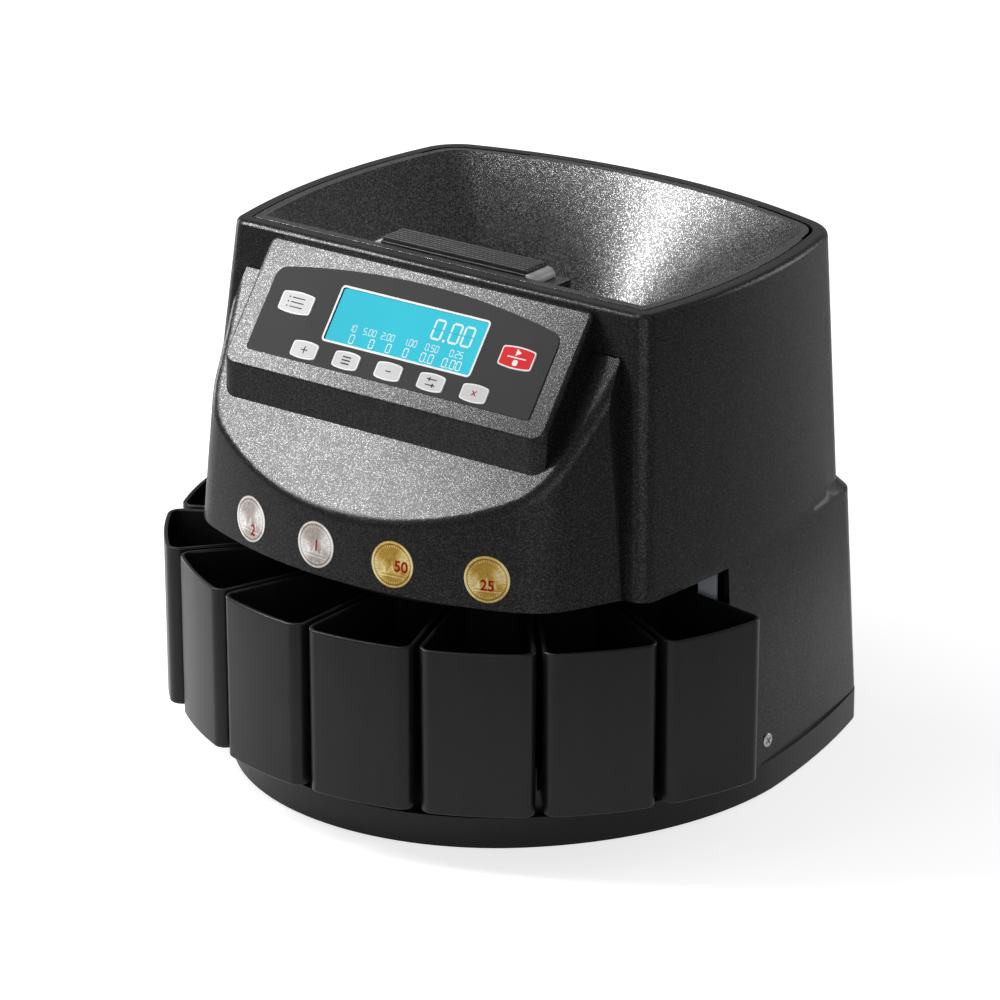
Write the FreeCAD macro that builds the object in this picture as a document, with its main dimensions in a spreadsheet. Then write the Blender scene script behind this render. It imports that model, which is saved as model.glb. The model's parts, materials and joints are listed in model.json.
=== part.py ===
import FreeCAD, Part
import math
import os
import re
from collections import namedtuple

from FreeCAD import Placement, Rotation, Vector

# Coin sorting machine: a hopper over a spinning coin disc, a slotted coin track and eight cups in a fan.
# Plan sizes are measured from the spindle, which carries the coin disc. Front is -Y, up is +Z.

# Driving dimensions, in millimetres and degrees
SIZES = {
    "foot_height": (2.0, "rubber feet below the base pan"),
    "foot_radius": (9.0, "rubber foot"),
    "base_floor": (3.0, "floor of the base pan"),
    "wall": (3.0, "wall of the housing and the base pan"),
    "band_top": (18.0, "top of the smooth base band"),
    "shelf_top": (29.0, "shelf that the cups stand on"),
    "shelf_reach": (141.0, "outer wall of the cup shelf from the spindle"),
    "rib_height": (12.0, "guide ribs between the cups"),
    "rib_thick": (1.4, "guide ribs between the cups"),
    "base_front": (152.9, "front of the base band"),
    "base_shoulder_x": (95.5, "base band outline, where the front bow ends"),
    "base_shoulder_y": (113.5, "base band outline, where the front bow ends"),
    "base_cheek_x": (132.3, "base band outline, middle of the side bow"),
    "base_cheek_y": (61.0, "base band outline, middle of the side bow"),
    "base_half": (148.2, "half width of the base band"),
    "base_widest": (15.5, "where the base band is widest, behind the spindle"),
    "rim_height": (270.0, "top of the housing rim"),
    "rim_front": (68.9, "rim, front edge"),
    "rim_front_half": (127.0, "rim, half width at the front"),
    "rim_side_half": (135.8, "rim, half width at the bulge"),
    "rim_rear_half": (121.5, "rim, half width at the rear"),
    "rim_rear": (100.0, "rim, rear corners"),
    "rim_back": (122.2, "rim, middle of the back"),
    "rim_rear_radius": (27.0, "rim, rear corners"),
    "front_radius": (9.0, "front corners of the housing"),
    "band_front": (94.5, "housing at the base band, front line"),
    "band_front_half": (147.3, "housing at the base band, half width at the front line"),
    "band_side_half": (147.5, "housing at the base band, half width at the bulge"),
    "band_rear_half": (130.0, "housing at the base band, half width at the rear"),
    "band_rear": (119.5, "housing at the base band, rear corners"),
    "band_back": (145.5, "housing at the base band, middle of the back"),
    "band_rear_radius": (14.0, "housing at the base band, rear corners"),
    "bulge_place": (10.0, "where the housing's sides bulge most"),
    "step_height": (130.0, "step in the housing's back"),
    "step_rise": (6.0, "height of the sloped step"),
    "step_depth": (4.5, "how far the lower back stands proud"),
    "rim_round": (3.0, "rounded outer edge of the rim"),
    "rim_width": (7.5, "top of the rim, from its outer edge to the seam"),
    "rim_depth": (8.0, "depth of the thick rim"),
    "seam_gap": (0.9, "gap between the rim and the hopper flange"),
    "skirt_height": (130.0, "lower edge of the nose and of the side cut-outs"),
    "bay_back": (18.5, "rear end of the cup bay, ahead of the spindle"),
    "nose_reach": (147.0, "front of the nose"),
    "nose_bow": (239.0, "radius of the nose's front"),
    "nose_root_half": (125.6, "half width where the nose meets the housing"),
    "nose_root": (84.5, "where the nose meets the housing"),
    "nose_splay": (25.0, "angle of the nose's sides"),
    "nose_corner": (40.0, "rounded sides of the nose"),
    "nose_lean": (5.0, "lean of the nose's wall"),
    "scoop_round": (8.0, "rounded edge of the scoop"),
    "scoop_front": (143.4, "lowest point of the scoop, ahead of the spindle"),
    "scoop_drop": (106.0, "lowest point of the scoop below the rim"),
    "scoop_back": (70.9, "highest point of the scoop, ahead of the spindle"),
    "scoop_head": (20.0, "highest point of the scoop below the rim"),
    "panel_tilt": (52.4, "slope of the panel and of the scoop"),
    "panel_reach": (112.9, "lower edge of the panel face from the spindle"),
    "panel_drop": (56.4, "lower edge of the panel face below the rim"),
    "panel_length": (68.2, "panel face, up the slope"),
    "panel_low_half": (99.0, "half width of the panel face, lower edge"),
    "panel_high_half": (99.0, "half width of the panel face, upper edge"),
    "panel_lip": (18.4, "height of the panel's front lip"),
    "panel_corner": (8.0, "rounded corners of the panel"),
    "panel_round": (2.0, "rounded edges of the panel face"),
    "panel_wall": (2.5, "wall of the panel housing"),
    "overlay_thick": (0.5, "printed overlay"),
    "overlay_half": (87.2, "half width of the overlay"),
    "overlay_low": (8.5, "lower edge of the overlay, up the slope"),
    "overlay_side": (52.9, "upper corners of the overlay, up the slope"),
    "overlay_crown": (61.5, "middle of the overlay's upper edge, up the slope"),
    "overlay_corner": (7.0, "upper corners of the overlay"),
    "display_half": (45.0, "half width of the display window"),
    "display_low": (22.5, "lower edge of the display window, up the slope"),
    "display_high": (50.7, "upper edge of the display window, up the slope"),
    "display_frame": (1.2, "lcd module beyond the window"),
    "small_key_width": (15.7, "small keys"),
    "small_key_side": (7.4, "straight side of the small keys"),
    "large_key_width": (20.0, "report and start keys"),
    "large_key_side": (9.6, "straight side of the report and start keys"),
    "key_bow": (1.0, "bow of a key's upper and lower edges"),
    "key_row": (14.6, "row of small keys, up the slope"),
    "key_pitch": (26.2, "small keys, side by side"),
    "large_key_place": (68.0, "large keys from the middle"),
    "large_key_row": (36.7, "large keys, up the slope"),
    "key_proud": (0.7, "key above the overlay"),
    "key_gap": (0.35, "gap round a key"),
    "key_flange": (1.2, "flange that keeps a key in"),
    "key_travel": (0.8, "key travel"),
    "board_thick": (1.6, "circuit boards"),
    "board_drop": (7.2, "panel board below the panel face"),
    "cup_reach": (174.6, "outer face of the cups from the spindle"),
    "cup_inner": (99.5, "inner end of the cups from the spindle"),
    "cup_top": (114.5, "rim of the cups"),
    "cup_lift": (0.2, "cups above the shelf"),
    "cup_pitch": (20.25, "angle from cup to cup"),
    "cup_gap": (2.8, "gap between neighbouring cups"),
    "cup_wall": (2.2, "wall of a cup"),
    "cup_out": (4.8, "how far the second cup stands out"),
    "wing_reach": (134.5, "light plates that close the cup bay, from the middle"),
    "wing_low": (92.0, "lower edge of the plates that close the cup bay"),
    "cup_corner": (7.0, "rounded corners of a cup"),
    "cup_draft": (0.4, "how much a cup narrows towards its floor, on each side"),
    "drum_radius": (96.0, "inner frame drum behind the cups"),
    "drum_wall": (3.0, "wall of the drum"),
    "drum_ledge": (7.0, "ledge inside the drum"),
    "deck_height": (128.0, "underside of the motor deck"),
    "deck_thick": (3.0, "motor deck"),
    "drop_height": (118.0, "lower edge of the chutes"),
    "guide_radius": (125.0, "chutes and coin track, outside"),
    "guide_wall": (3.0, "wall of the chutes and of the coin track"),
    "guide_vane": (2.0, "vanes between the chutes"),
    "ring_thick": (2.5, "plates of the coin track"),
    "slot_small": (9.0, "width of the smallest sorting slot"),
    "slot_step": (0.8, "growth of the sorting slots from cup to cup"),
    "slot_length": (27.0, "length of the sorting slots"),
    "disc_radius": (103.0, "coin disc"),
    "disc_thick": (4.0, "coin disc"),
    "disc_gap": (0.6, "gap between the coin disc and the plates beside it"),
    "cone_radius": (26.0, "centre cone of the coin disc"),
    "cone_height": (14.0, "centre cone of the coin disc"),
    "track_depth": (6.0, "coin track, from its plates to the cover"),
    "cover_thick": (2.0, "track cover"),
    "throat_radius": (52.0, "throat of the track cover"),
    "throat_place": (22.0, "throat and hopper outlet, behind the spindle"),
    "throat_length": (25.0, "throat above the track cover"),
    "outlet_radius": (50.0, "outlet of the hopper"),
    "outlet_gap": (1.0, "hopper outlet above the throat"),
    "hopper_wall": (2.5, "wall of the hopper"),
    "flange_thick": (4.0, "hopper flange"),
    "ledge_width": (2.5, "ledge under the hopper flange"),
    "ledge_end": (60.0, "rear end of the ledge, behind the spindle"),
    "mouth_margin": (5.6, "hopper flange, from the seam to the mouth"),
    "hinge_place": (82.0, "hopper hinge, behind the spindle"),
    "hinge_drop": (5.0, "hopper hinge below the rim"),
    "hinge_radius": (2.5, "hopper hinge pins"),
    "lug_gap": (1.0, "hopper flange, cut back beside the hinge"),
    "lug_reach": (7.0, "cut beside the hinge, in front of the pins"),
    "lug_tail": (24.0, "cut beside the hinge, behind the pins"),
    "lug_set": (2.4, "hinge lugs, from the edge of the flange to their faces"),
    "rear_plates": (6.0, "number of plain plates in the coin track behind the cups"),
    "fit_gap": (0.05, "running fits"),
    "plinth_half": (57.0, "half width of the plinth under the grip"),
    "plinth_back": (33.0, "rear of the plinth, ahead of the spindle"),
    "plinth_drop": (4.6, "top of the plinth below the rim"),
    "plinth_thick": (7.0, "plinth under the grip"),
    "grip_half": (45.0, "half length of the grip plate"),
    "grip_front": (53.4, "front edge of the grip, ahead of the spindle"),
    "grip_width": (18.0, "grip, front to back"),
    "grip_roll": (4.6, "rolled ends of the grip plate"),
    "grip_plate": (1.6, "thickness of the grip plate"),
    "grip_pad": (2.2, "thickness of the grip pad"),
    "grip_ribs": (7, "ribs on the grip pad"),
    "grip_lift": (0.2, "grip plate above the plinth"),
    "gear_module": (2.0, "gear teeth"),
    "gear_teeth": (40, "drive gear"),
    "pinion_teeth": (14, "motor pinion"),
    "gear_width": (8.0, "gears"),
    "gear_lift": (3.0, "gears above the motor deck"),
    "hub_length": (8.0, "hub of the coin disc, from the gear to the disc"),
    "tooth_slack": (0.3, "backlash taken from each tooth"),
    "shaft_radius": (4.0, "spindle shaft"),
    "bearing_radius": (11.0, "spindle bearings, outside"),
    "bearing_width": (7.0, "spindle bearings"),
    "bearing_block": (30.0, "length of the bearing block"),
    "motor_radius": (18.5, "gearbox of the motor"),
    "gearbox_length": (32.0, "gearbox of the motor"),
    "can_radius": (14.0, "motor can"),
    "can_length": (42.0, "motor can"),
    "motor_shaft": (3.0, "motor shaft"),
    "cover_half": (88.0, "half width of the rear cover"),
    "cover_low": (28.0, "lower edge of the rear cover"),
    "cover_high": (112.0, "upper edge of the rear cover"),
    "cover_gap": (0.5, "gap round the rear cover"),
    "cover_lip": (5.0, "lip behind the rear cover's edge"),
    "inlet_place": (18.0, "power inlet to the right of the middle, switch to the left"),
    "inlet_height": (56.0, "power inlet and switch above the floor"),
    "inlet_half": (14.0, "half width of the power inlet"),
    "inlet_tall": (10.5, "half height of the power inlet"),
    "inlet_depth": (20.0, "power inlet"),
    "inlet_wall": (2.0, "wall of the power inlet"),
    "blade_depth": (10.0, "blades of the power inlet"),
    "switch_half": (11.0, "half width of the power switch"),
    "switch_tall": (13.5, "half height of the power switch"),
    "switch_depth": (16.0, "power switch"),
    "rocker_gap": (0.5, "gap round the rocker"),
    "label_radius": (11.6, "coin labels"),
    "label_thick": (0.4, "coin labels"),
    "label_height": (145.1, "coin labels above the floor"),
    "label_first": (-14.8, "angle of the first coin label"),
    "screw_radius": (3.6, "screw heads"),
    "screw_head": (2.0, "screw heads"),
    "side_screw_height": (29.0, "side screws above the floor"),
    "side_screw_place": (12.0, "side screws, behind the spindle"),
    "shelf_gap": (1.5, "cup shelf outside the drum"),
    "rib_start": (112.0, "guide ribs from the spindle"),
    "post_width": (6.0, "posts of the main board"),
    "post_place": (56.0, "posts of the main board from the middle"),
    "board_place": (112.0, "main board, behind the spindle"),
    "board_wide": (60.0, "half width of the main board"),
    "board_high": (104.0, "upper edge of the main board"),
    "chip_tall": (12.0, "parts on the main board"),
    "supply_place": (99.0, "power supply, to the right of the middle"),
    "supply_wide": (27.0, "power supply, side to side"),
    "supply_front": (45.0, "power supply, behind the spindle"),
    "supply_long": (48.0, "power supply, front to back"),
    "supply_tall": (60.0, "power supply"),
    "tab_gap": (0.6, "screw tabs inside the wall"),
    "screw_shank": (1.5, "screw shanks"),
    "screw_sink": (1.2, "screw heads below the surface"),
    "running_gap": (0.3, "free gap between fixed pieces"),
    "cover_seat": (0.2, "rear cover's lip behind the wall"),
    "cover_wall": (2.0, "rear cover's lip"),
    "recess_half": (36.0, "half width of the recess in the rear cover"),
    "recess_tall": (16.0, "half height of the recess in the rear cover"),
    "recess_face": (138.0, "flat floor of the recess, behind the spindle"),
    "socket_flange": (2.0, "flange of the inlet and of the switch"),
    "rocker_drop": (5.0, "pivot of the rocker behind the recess floor"),
    "rocker_pin": (1.5, "pivot pins of the rocker"),
    "rocker_tilt": (7.0, "rocker tilt either way"),
    "blade_pitch": (5.0, "blades of the power inlet, side by side"),
    "blade_thick": (2.0, "blades of the power inlet"),
    "panel_edge": (4.0, "upper corners of the panel"),
    "key_corner": (1.5, "corners of the keys and the display"),
    "key_play": (0.2, "key flange below the face"),
    "window_drop": (0.6, "display window below the face"),
    "board_half": (87.0, "half width of the panel board"),
    "board_low": (4.0, "panel board, lower edge up the slope"),
    "board_far": (54.0, "panel board, upper edge up the slope"),
    "standoff_radius": (3.0, "standoffs of the panel board"),
    "switch_size": (6.0, "switches under the keys"),
    "grip_rise": (0.4, "top of the grip plate above the rim"),
    "grip_margin": (0.8, "grip plate round the pad"),
    "pressure_angle": (25.0, "gear teeth"),
    "shaft_depth": (10.0, "motor shaft inside the gearbox"),
    "drum_gap": (2.5, "drum below the coin disc"),
    "drum_flange": (2.5, "flange round the drum"),
    "slot_ledge": (1.4, "steel between the disc and the slots"),
    "slot_corner": (2.0, "corners of the sorting slots"),
    "sensor_size": (9.0, "coin sensors"),
    "label_second": (-3.3, "angle of the second coin label"),
    "label_third": (7.8, "angle of the third coin label"),
    "label_fourth": (19.8, "angle of the fourth coin label"),
    "foot_front_half": (72.0, "front feet from the middle"),
    "foot_front": (92.0, "front feet ahead of the spindle"),
    "foot_rear_half": (98.0, "rear feet from the middle"),
    "foot_rear": (92.0, "rear feet behind the spindle"),
    "scoop_low": ("rim_height - scoop_drop", "lowest point of the scoop above the floor"),
    "scoop_high": ("rim_height - scoop_head", "highest point of the scoop above the floor"),
    "panel_foot": ("rim_height - panel_drop", "lower edge of the panel face above the floor"),
    "boss_radius": ("0.9 * hinge_drop", "bosses around the hinge pins"),
    "gear_height": ("deck_height + deck_thick + gear_lift", "underside of the gears"),
    "disc_height": ("gear_height + gear_width + hub_length", "underside of the coin disc"),
    "drum_top": ("disc_height - drum_gap", "top of the drum"),
    "track_height": ("disc_height + disc_thick", "top of the coin disc and of the plates beside it"),
    "ring_height": ("track_height - ring_thick", "underside of the plates of the coin track"),
    "roof_height": ("track_height + track_depth", "underside of the track cover"),
    "throat_top": ("roof_height + cover_thick + throat_length", "top of the throat"),
}
CUPS = 8

doc = FreeCAD.newDocument("coin_sorting_machine")
sheet = doc.addObject("Spreadsheet::Sheet", "Sizes")
for row, (alias, (value, meaning)) in enumerate(SIZES.items(), start=1):
    sheet.set(f"A{row}", meaning)
    sheet.set(f"B{row}", f"={value}")
    sheet.setAlias(f"B{row}", alias)
doc.recompute()


class Sheet:
    """The driving dimensions by name, read from the sheet."""

    def __getattr__(self, alias):
        return float(sheet.get(alias))


size = Sheet()
ALIAS = re.compile(r"\b(" + "|".join(SIZES) + r")\b")
# The row's origin is midway between the cups' front and the housing's back.
SPINDLE = "(cup_reach - band_back) / 2"
spindle_y = (size.cup_reach - size.band_back) / 2
nodes = []


def cells(text):
    """A sum of sizes as an expression on the sheet's cells."""
    return ALIAS.sub(r"Sizes.\1", str(text))


def node(piece, label):
    """Marks a document object as a sub-part with a name of its own."""
    piece.Label = label
    nodes.append(piece)
    return piece


# Primitives bound to the sheet


def block(x, y, z):
    """A box between two planes on each axis; the planes are sums of sizes from the spindle."""
    solid = doc.addObject("Part::Box", "Block")
    spans = (x, (f"{SPINDLE} + {y[0]}", f"{SPINDLE} + {y[1]}"), z)
    for axis, length, (low, high) in zip("xyz", ("Length", "Width", "Height"), spans):
        solid.setExpression(length, cells(f"({high}) - ({low})"))
        solid.setExpression(f"Placement.Base.{axis}", cells(low))
    return solid


def rod(radius, z, x="0", y="0"):
    """An upright cylinder between two heights."""
    solid = doc.addObject("Part::Cylinder", "Rod")
    solid.setExpression("Radius", cells(radius))
    solid.setExpression("Height", cells(f"({z[1]}) - ({z[0]})"))
    solid.setExpression("Placement.Base.x", cells(x))
    solid.setExpression("Placement.Base.y", cells(f"{SPINDLE} + {y}"))
    solid.setExpression("Placement.Base.z", cells(z[0]))
    return solid


def cross_rod(radius, x, y, z):
    """A cylinder along X between two planes."""
    solid = doc.addObject("Part::Cylinder", "CrossRod")
    solid.Placement = Placement(Vector(), Rotation(Vector(0, 1, 0), 90))
    solid.setExpression("Radius", cells(radius))
    solid.setExpression("Height", cells(f"({x[1]}) - ({x[0]})"))
    solid.setExpression("Placement.Base.x", cells(x[0]))
    solid.setExpression("Placement.Base.y", cells(f"{SPINDLE} + {y}"))
    solid.setExpression("Placement.Base.z", cells(z))
    return solid


def fused(*pieces):
    """The union of document objects."""
    result = doc.addObject("Part::MultiFuse", "Union")
    result.Shapes = list(pieces)
    return result


def less(base, *tools):
    """A document object with others cut out of it."""
    result = doc.addObject("Part::Cut", "Cut")
    result.Base = base
    result.Tool = tools[0] if len(tools) == 1 else fused(*tools)
    return result


def group(*pieces):
    """Separate solids that share one node."""
    result = doc.addObject("Part::Compound", "Group")
    result.Links = list(pieces)
    return result


def shaped(shape, label, frame=None):
    """A sub-part whose shape is worked out from the sheet's sizes; it stands on the spindle."""
    piece = doc.addObject("Part::Feature", label)
    piece.Shape = shape
    piece.Placement = frame or Placement(Vector(0, spindle_y, 0), Rotation())
    return node(piece, label)


# Outlines of straight and bowed sides with rounded corners

Corner = namedtuple("Corner", "x y radius via", defaults=(0.0, None))


class Straight:
    """A straight side of an outline, with the inside on its left."""

    def __init__(self, start, end):
        self.start = start
        self.along = (end - start).normalize()

    def inward(self, distance):
        left = Vector(-self.along.y, self.along.x, 0)
        moved = self.start + left * distance
        return Straight(moved, moved + self.along)

    def foot(self, point):
        return self.start + self.along * (point - self.start).dot(self.along)

    def crossings(self, other):
        if isinstance(other, Bow):
            return other.crossings(self)
        apart = other.start - self.start
        turn = self.along.cross(other.along).z
        return [self.start + self.along * (apart.cross(other.along).z / turn)]


class Bow:
    """A side bowed outwards: an arc with the inside towards its centre."""

    def __init__(self, centre, radius):
        self.centre = centre
        self.radius = radius

    def inward(self, distance):
        return Bow(self.centre, self.radius - distance)

    def foot(self, point):
        return self.centre + (point - self.centre).normalize() * self.radius

    def crossings(self, other):
        if isinstance(other, Straight):
            middle = other.foot(self.centre)
            reach = math.sqrt(self.radius**2 - (middle - self.centre).Length ** 2)
            return [middle + other.along * reach, middle - other.along * reach]
        apart = other.centre - self.centre
        gap = apart.Length
        share = (gap**2 + self.radius**2 - other.radius**2) / (2 * gap)
        reach = math.sqrt(self.radius**2 - share**2)
        across = Vector(-apart.y, apart.x, 0) * (reach / gap)
        middle = self.centre + apart * (share / gap)
        return [middle + across, middle - across]


def crossing(first, second, near):
    """Where two sides meet, nearest to a point."""
    return min(first.crossings(second), key=lambda point: (point - near).Length)


def outline(corners, height=0.0, inset=0.0):
    """The curves of an outline, anticlockwise, moved inwards by an inset, at a height."""
    points = [Vector(corner.x, corner.y, 0) for corner in corners]
    sides = []
    for index, corner in enumerate(corners):
        start = points[index]
        end = points[(index + 1) % len(points)]
        if corner.via is None:
            side = Straight(start, end)
        else:
            circle = Part.Circle(start, Vector(corner.via[0], corner.via[1], 0), end)
            side = Bow(circle.Center, circle.Radius)
        sides.append(side.inward(inset))
    lift = Vector(0, 0, height)
    joints = []
    for index, corner in enumerate(corners):
        before = sides[index - 1]
        after = sides[index]
        tip = crossing(before, after, points[index])
        radius = max(corner.radius - inset, 0.0)
        if radius < 0.05:
            joints.append((tip, None, tip))
            continue
        centre = crossing(before.inward(radius), after.inward(radius), tip)
        middle = centre + (tip - centre).normalize() * radius
        joints.append((before.foot(centre), middle, after.foot(centre)))
    curves = []
    for index, side in enumerate(sides):
        into, middle, out = joints[index]
        if middle is not None:
            curves.append(Part.ArcOfCircle(into + lift, middle + lift, out + lift))
        end = joints[(index + 1) % len(joints)][0]
        if isinstance(side, Bow):
            halfway = side.foot((out + end) * 0.5)
            curves.append(Part.ArcOfCircle(out + lift, halfway + lift, end + lift))
        else:
            curves.append(Part.LineSegment(out + lift, end + lift))
    return curves


def wire(curves):
    """One closed wire from an outline's curves."""
    return Part.Wire([curve.toShape() for curve in curves])


def loft(wires):
    """A solid with ruled walls through a stack of outlines."""
    return Part.makeLoft(wires, True, True)


def prism(corners, low, high, inset=0.0):
    """An upright solid on an outline."""
    face = Part.Face(wire(outline(corners, low, inset)))
    return face.extrude(Vector(0, 0, high - low))


def sector(low_radius, high_radius, low, high, half_angle):
    """A stretch of a ring about the spindle, centred on the front."""
    ring = Part.makeCylinder(high_radius, high - low, Vector(0, 0, low), Vector(0, 0, 1), 2 * half_angle)
    ring = ring.cut(Part.makeCylinder(low_radius, high - low, Vector(0, 0, low)))
    ring.rotate(Vector(), Vector(0, 0, 1), -90 - half_angle)
    return ring


def facing(solid, angle):
    """A copy of a solid that lies along the front, turned about the spindle towards +X by an angle."""
    turned = solid.copy()
    turned.rotate(Vector(), Vector(0, 0, 1), angle)
    return turned


def cup_angles():
    """The cups' angles from the front, from left to right."""
    return [(index - (CUPS - 1) / 2) * size.cup_pitch for index in range(CUPS)]


def bay_angles():
    """The angles of the gaps beside the cups, from left to right."""
    return [(index - CUPS / 2) * size.cup_pitch for index in range(CUPS + 1)]


# Plans of the housing, the nose, the base and a cup


def housing_plan(height, proud=False):
    """The housing's plan at a height: straight front, bulged sides, bowed back."""
    share = (size.rim_height - height) / (size.rim_height - size.band_top)
    step = size.step_depth if proud else 0.0

    def between(rim, band, drop=0.0):
        return rim + share * (band - drop - rim)

    front = -between(size.rim_front, size.band_front)
    front_half = between(size.rim_front_half, size.band_front_half)
    side_half = between(size.rim_side_half, size.band_side_half)
    rear_half = between(size.rim_rear_half, size.band_rear_half, size.step_depth) + step
    rear = between(size.rim_rear, size.band_rear, size.step_depth) + step
    back = between(size.rim_back, size.band_back, size.step_depth) + step
    rear_radius = between(size.rim_rear_radius, size.band_rear_radius)
    return [
        Corner(-front_half, front, size.front_radius),
        Corner(front_half, front, size.front_radius, (side_half, size.bulge_place)),
        Corner(rear_half, rear, rear_radius, (0, back)),
        Corner(-rear_half, rear, rear_radius, (-side_half, size.bulge_place)),
    ]


def rim_plan():
    """The housing's plan at the rim."""
    return housing_plan(size.rim_height)


def nose_plan(height):
    """The nose's plan at a height: a wide bow in front, splayed sides, square behind."""
    lean = (height - size.skirt_height) * math.tan(math.radians(size.nose_lean))
    splay = math.radians(size.nose_splay)
    root = Vector(size.nose_root_half - lean, -size.nose_root, 0)
    ahead = root - Vector(math.sin(splay), math.cos(splay), 0)
    centre = Vector(0, size.nose_bow - size.nose_reach, 0)
    corner = crossing(Bow(centre, size.nose_bow - lean), Straight(root, ahead), ahead)
    behind = -size.nose_root + size.wall + size.front_radius
    return [
        Corner(-corner.x, corner.y, size.nose_corner, (0, -size.nose_reach + lean)),
        Corner(corner.x, corner.y, size.nose_corner),
        Corner(root.x, root.y),
        Corner(root.x, behind),
        Corner(-root.x, behind),
        Corner(-root.x, root.y),
    ]


def base_plan():
    """The base band's plan: a long bow in front, bowed sides and back."""
    rear_x = (size.base_half + size.band_rear_half) / 2 + size.wall
    rear_y = (size.base_widest + size.band_rear) / 2
    return [
        Corner(-size.base_shoulder_x, -size.base_shoulder_y, 0, (0, -size.base_front)),
        Corner(size.base_shoulder_x, -size.base_shoulder_y, 0, (size.base_cheek_x, -size.base_cheek_y)),
        Corner(size.base_half, size.base_widest, 0, (rear_x, rear_y)),
        Corner(size.band_rear_half, size.band_rear, size.band_rear_radius, (0, size.band_back)),
        Corner(-size.band_rear_half, size.band_rear, size.band_rear_radius, (-rear_x, rear_y)),
        Corner(-size.base_half, size.base_widest, 0, (-size.base_cheek_x, -size.base_cheek_y)),
    ]


def cup_plan():
    """A cup's plan at its rim: a wedge along the front with a bowed outer face."""
    half = math.radians(size.cup_pitch / 2)
    side = Vector(math.sin(half), -math.cos(half), 0)
    shift = Vector(-math.cos(half), -math.sin(half), 0) * (size.cup_gap / 2)
    edge = Straight(shift, shift + side)
    outer = crossing(Bow(Vector(), size.cup_reach), edge, side * size.cup_reach)
    inner = edge.start + side * ((size.cup_inner + shift.y) / -side.y)
    return [
        Corner(-outer.x, outer.y, size.cup_corner, (0, -size.cup_reach)),
        Corner(outer.x, outer.y, size.cup_corner),
        Corner(inner.x, -size.cup_inner, size.cup_corner),
        Corner(-inner.x, -size.cup_inner, size.cup_corner),
    ]


def scoop_circle():
    """The scoop in side view: the centre and the radius of its hollow curve."""
    low = Vector(0, -size.scoop_front, size.scoop_low)
    middle = Vector(0, -size.panel_reach, size.panel_foot - size.panel_lip)
    high = Vector(0, -size.scoop_back, size.scoop_high)
    curve = Part.Circle(low, middle, high)
    return curve.Center, curve.Radius


def above_scoop(drop=0.0):
    """The space over the scoop, or over a surface that much below it."""
    centre, radius = scoop_circle()
    reach = 4 * size.rim_side_half
    start = centre - Vector(reach / 2, 0, 0)
    return Part.makeCylinder(radius + drop, reach, start, Vector(1, 0, 0))


def nose_solid(inset=0.0, low=None):
    """The nose below the scoop, solid, moved inwards by an inset."""
    low = size.skirt_height if low is None else low
    heights = (low, size.rim_height - size.rim_depth)
    solid = loft([wire(outline(nose_plan(height), height, inset)) for height in heights])
    return solid.cut(above_scoop(inset))


def housing_solid(inset=0.0, low=None, high=None):
    """The housing without its nose, solid, moved inwards by an inset."""
    low = size.band_top if low is None else low
    high = size.rim_height if high is None else high
    step_top = size.step_height + size.step_rise
    stack = ((low, True), (size.step_height, True), (step_top, False), (high, False))
    return loft([wire(outline(housing_plan(height, proud), height, inset)) for height, proud in stack])


def scoop_edges(solid):
    """The edges where the scoop cuts the nose's wall."""
    centre, radius = scoop_circle()
    found = []
    for edge in solid.Edges:
        ends = [edge.valueAt(edge.FirstParameter), edge.valueAt(edge.LastParameter)]
        reach = [math.hypot(end.y - centre.y, end.z - centre.z) for end in ends]
        on_scoop = all(abs(length - radius) < 0.01 for length in reach)
        if on_scoop and max(end.y for end in ends) < -size.nose_root + 0.01:
            found.append(edge)
    return found


def rim_edges(solid):
    """The edges of a solid at the height of the rim."""
    low = size.rim_height - 0.01
    return [edge for edge in solid.Edges if edge.BoundBox.ZMin > low]


def rear_window(grow=0.0):
    """The opening in the housing's back, as a box wider by an amount on each side."""
    width = 2 * (size.cover_half + grow)
    tall = size.cover_high - size.cover_low + 2 * grow
    return Part.makeBox(
        width, size.band_back, tall, Vector(-width / 2, size.throat_place, size.cover_low - grow)
    )


def housing_shell():
    """The housing with its nose, hollow and open below, without the rear opening."""
    outer = housing_solid()
    outer = outer.makeFillet(size.rim_round, rim_edges(outer))
    nose = nose_solid()
    nose = nose.makeFillet(size.scoop_round, scoop_edges(nose))
    below = size.band_top - 1
    hollow = housing_solid(size.wall, below, size.rim_height - size.rim_depth)
    hollow = hollow.fuse(nose_solid(size.wall, size.skirt_height - 1))
    return outer.fuse(nose).removeSplitter().cut(hollow)


def half_width(plan, y, inset=0.0):
    """Half width of a plan of the housing at a distance behind the spindle, moved inwards."""
    front, rear = plan[1:3]
    bulge = Vector(front.via[0], front.via[1], 0)
    circle = Part.Circle(Vector(front.x, front.y, 0), bulge, Vector(rear.x, rear.y, 0))
    across = Straight(Vector(0, y, 0), Vector(1, y, 0))
    return crossing(Bow(circle.Center, circle.Radius - inset), across, bulge).x


def screw_face():
    """Half width of the housing at the side screws."""
    return half_width(housing_plan(size.side_screw_height, True), size.side_screw_place)


def back_face(x, height):
    """How far the housing's lower back stands behind the spindle."""
    right, left = housing_plan(height, True)[2:4]
    circle = Part.Circle(Vector(right.x, right.y, 0), Vector(0, right.via[1], 0), Vector(left.x, left.y, 0))
    across = Straight(Vector(x, 0, 0), Vector(x, 1, 0))
    return crossing(Bow(circle.Center, circle.Radius), across, Vector(x, right.via[1], 0)).y


def side_rod(side, radius, start, end):
    """A cylinder along X at a side screw, between two depths from the wall's face."""
    face = screw_face()
    centre = Vector(side * (face + start), size.side_screw_place, size.side_screw_height)
    return Part.makeCylinder(radius, end - start, centre, Vector(side, 0, 0))


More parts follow.
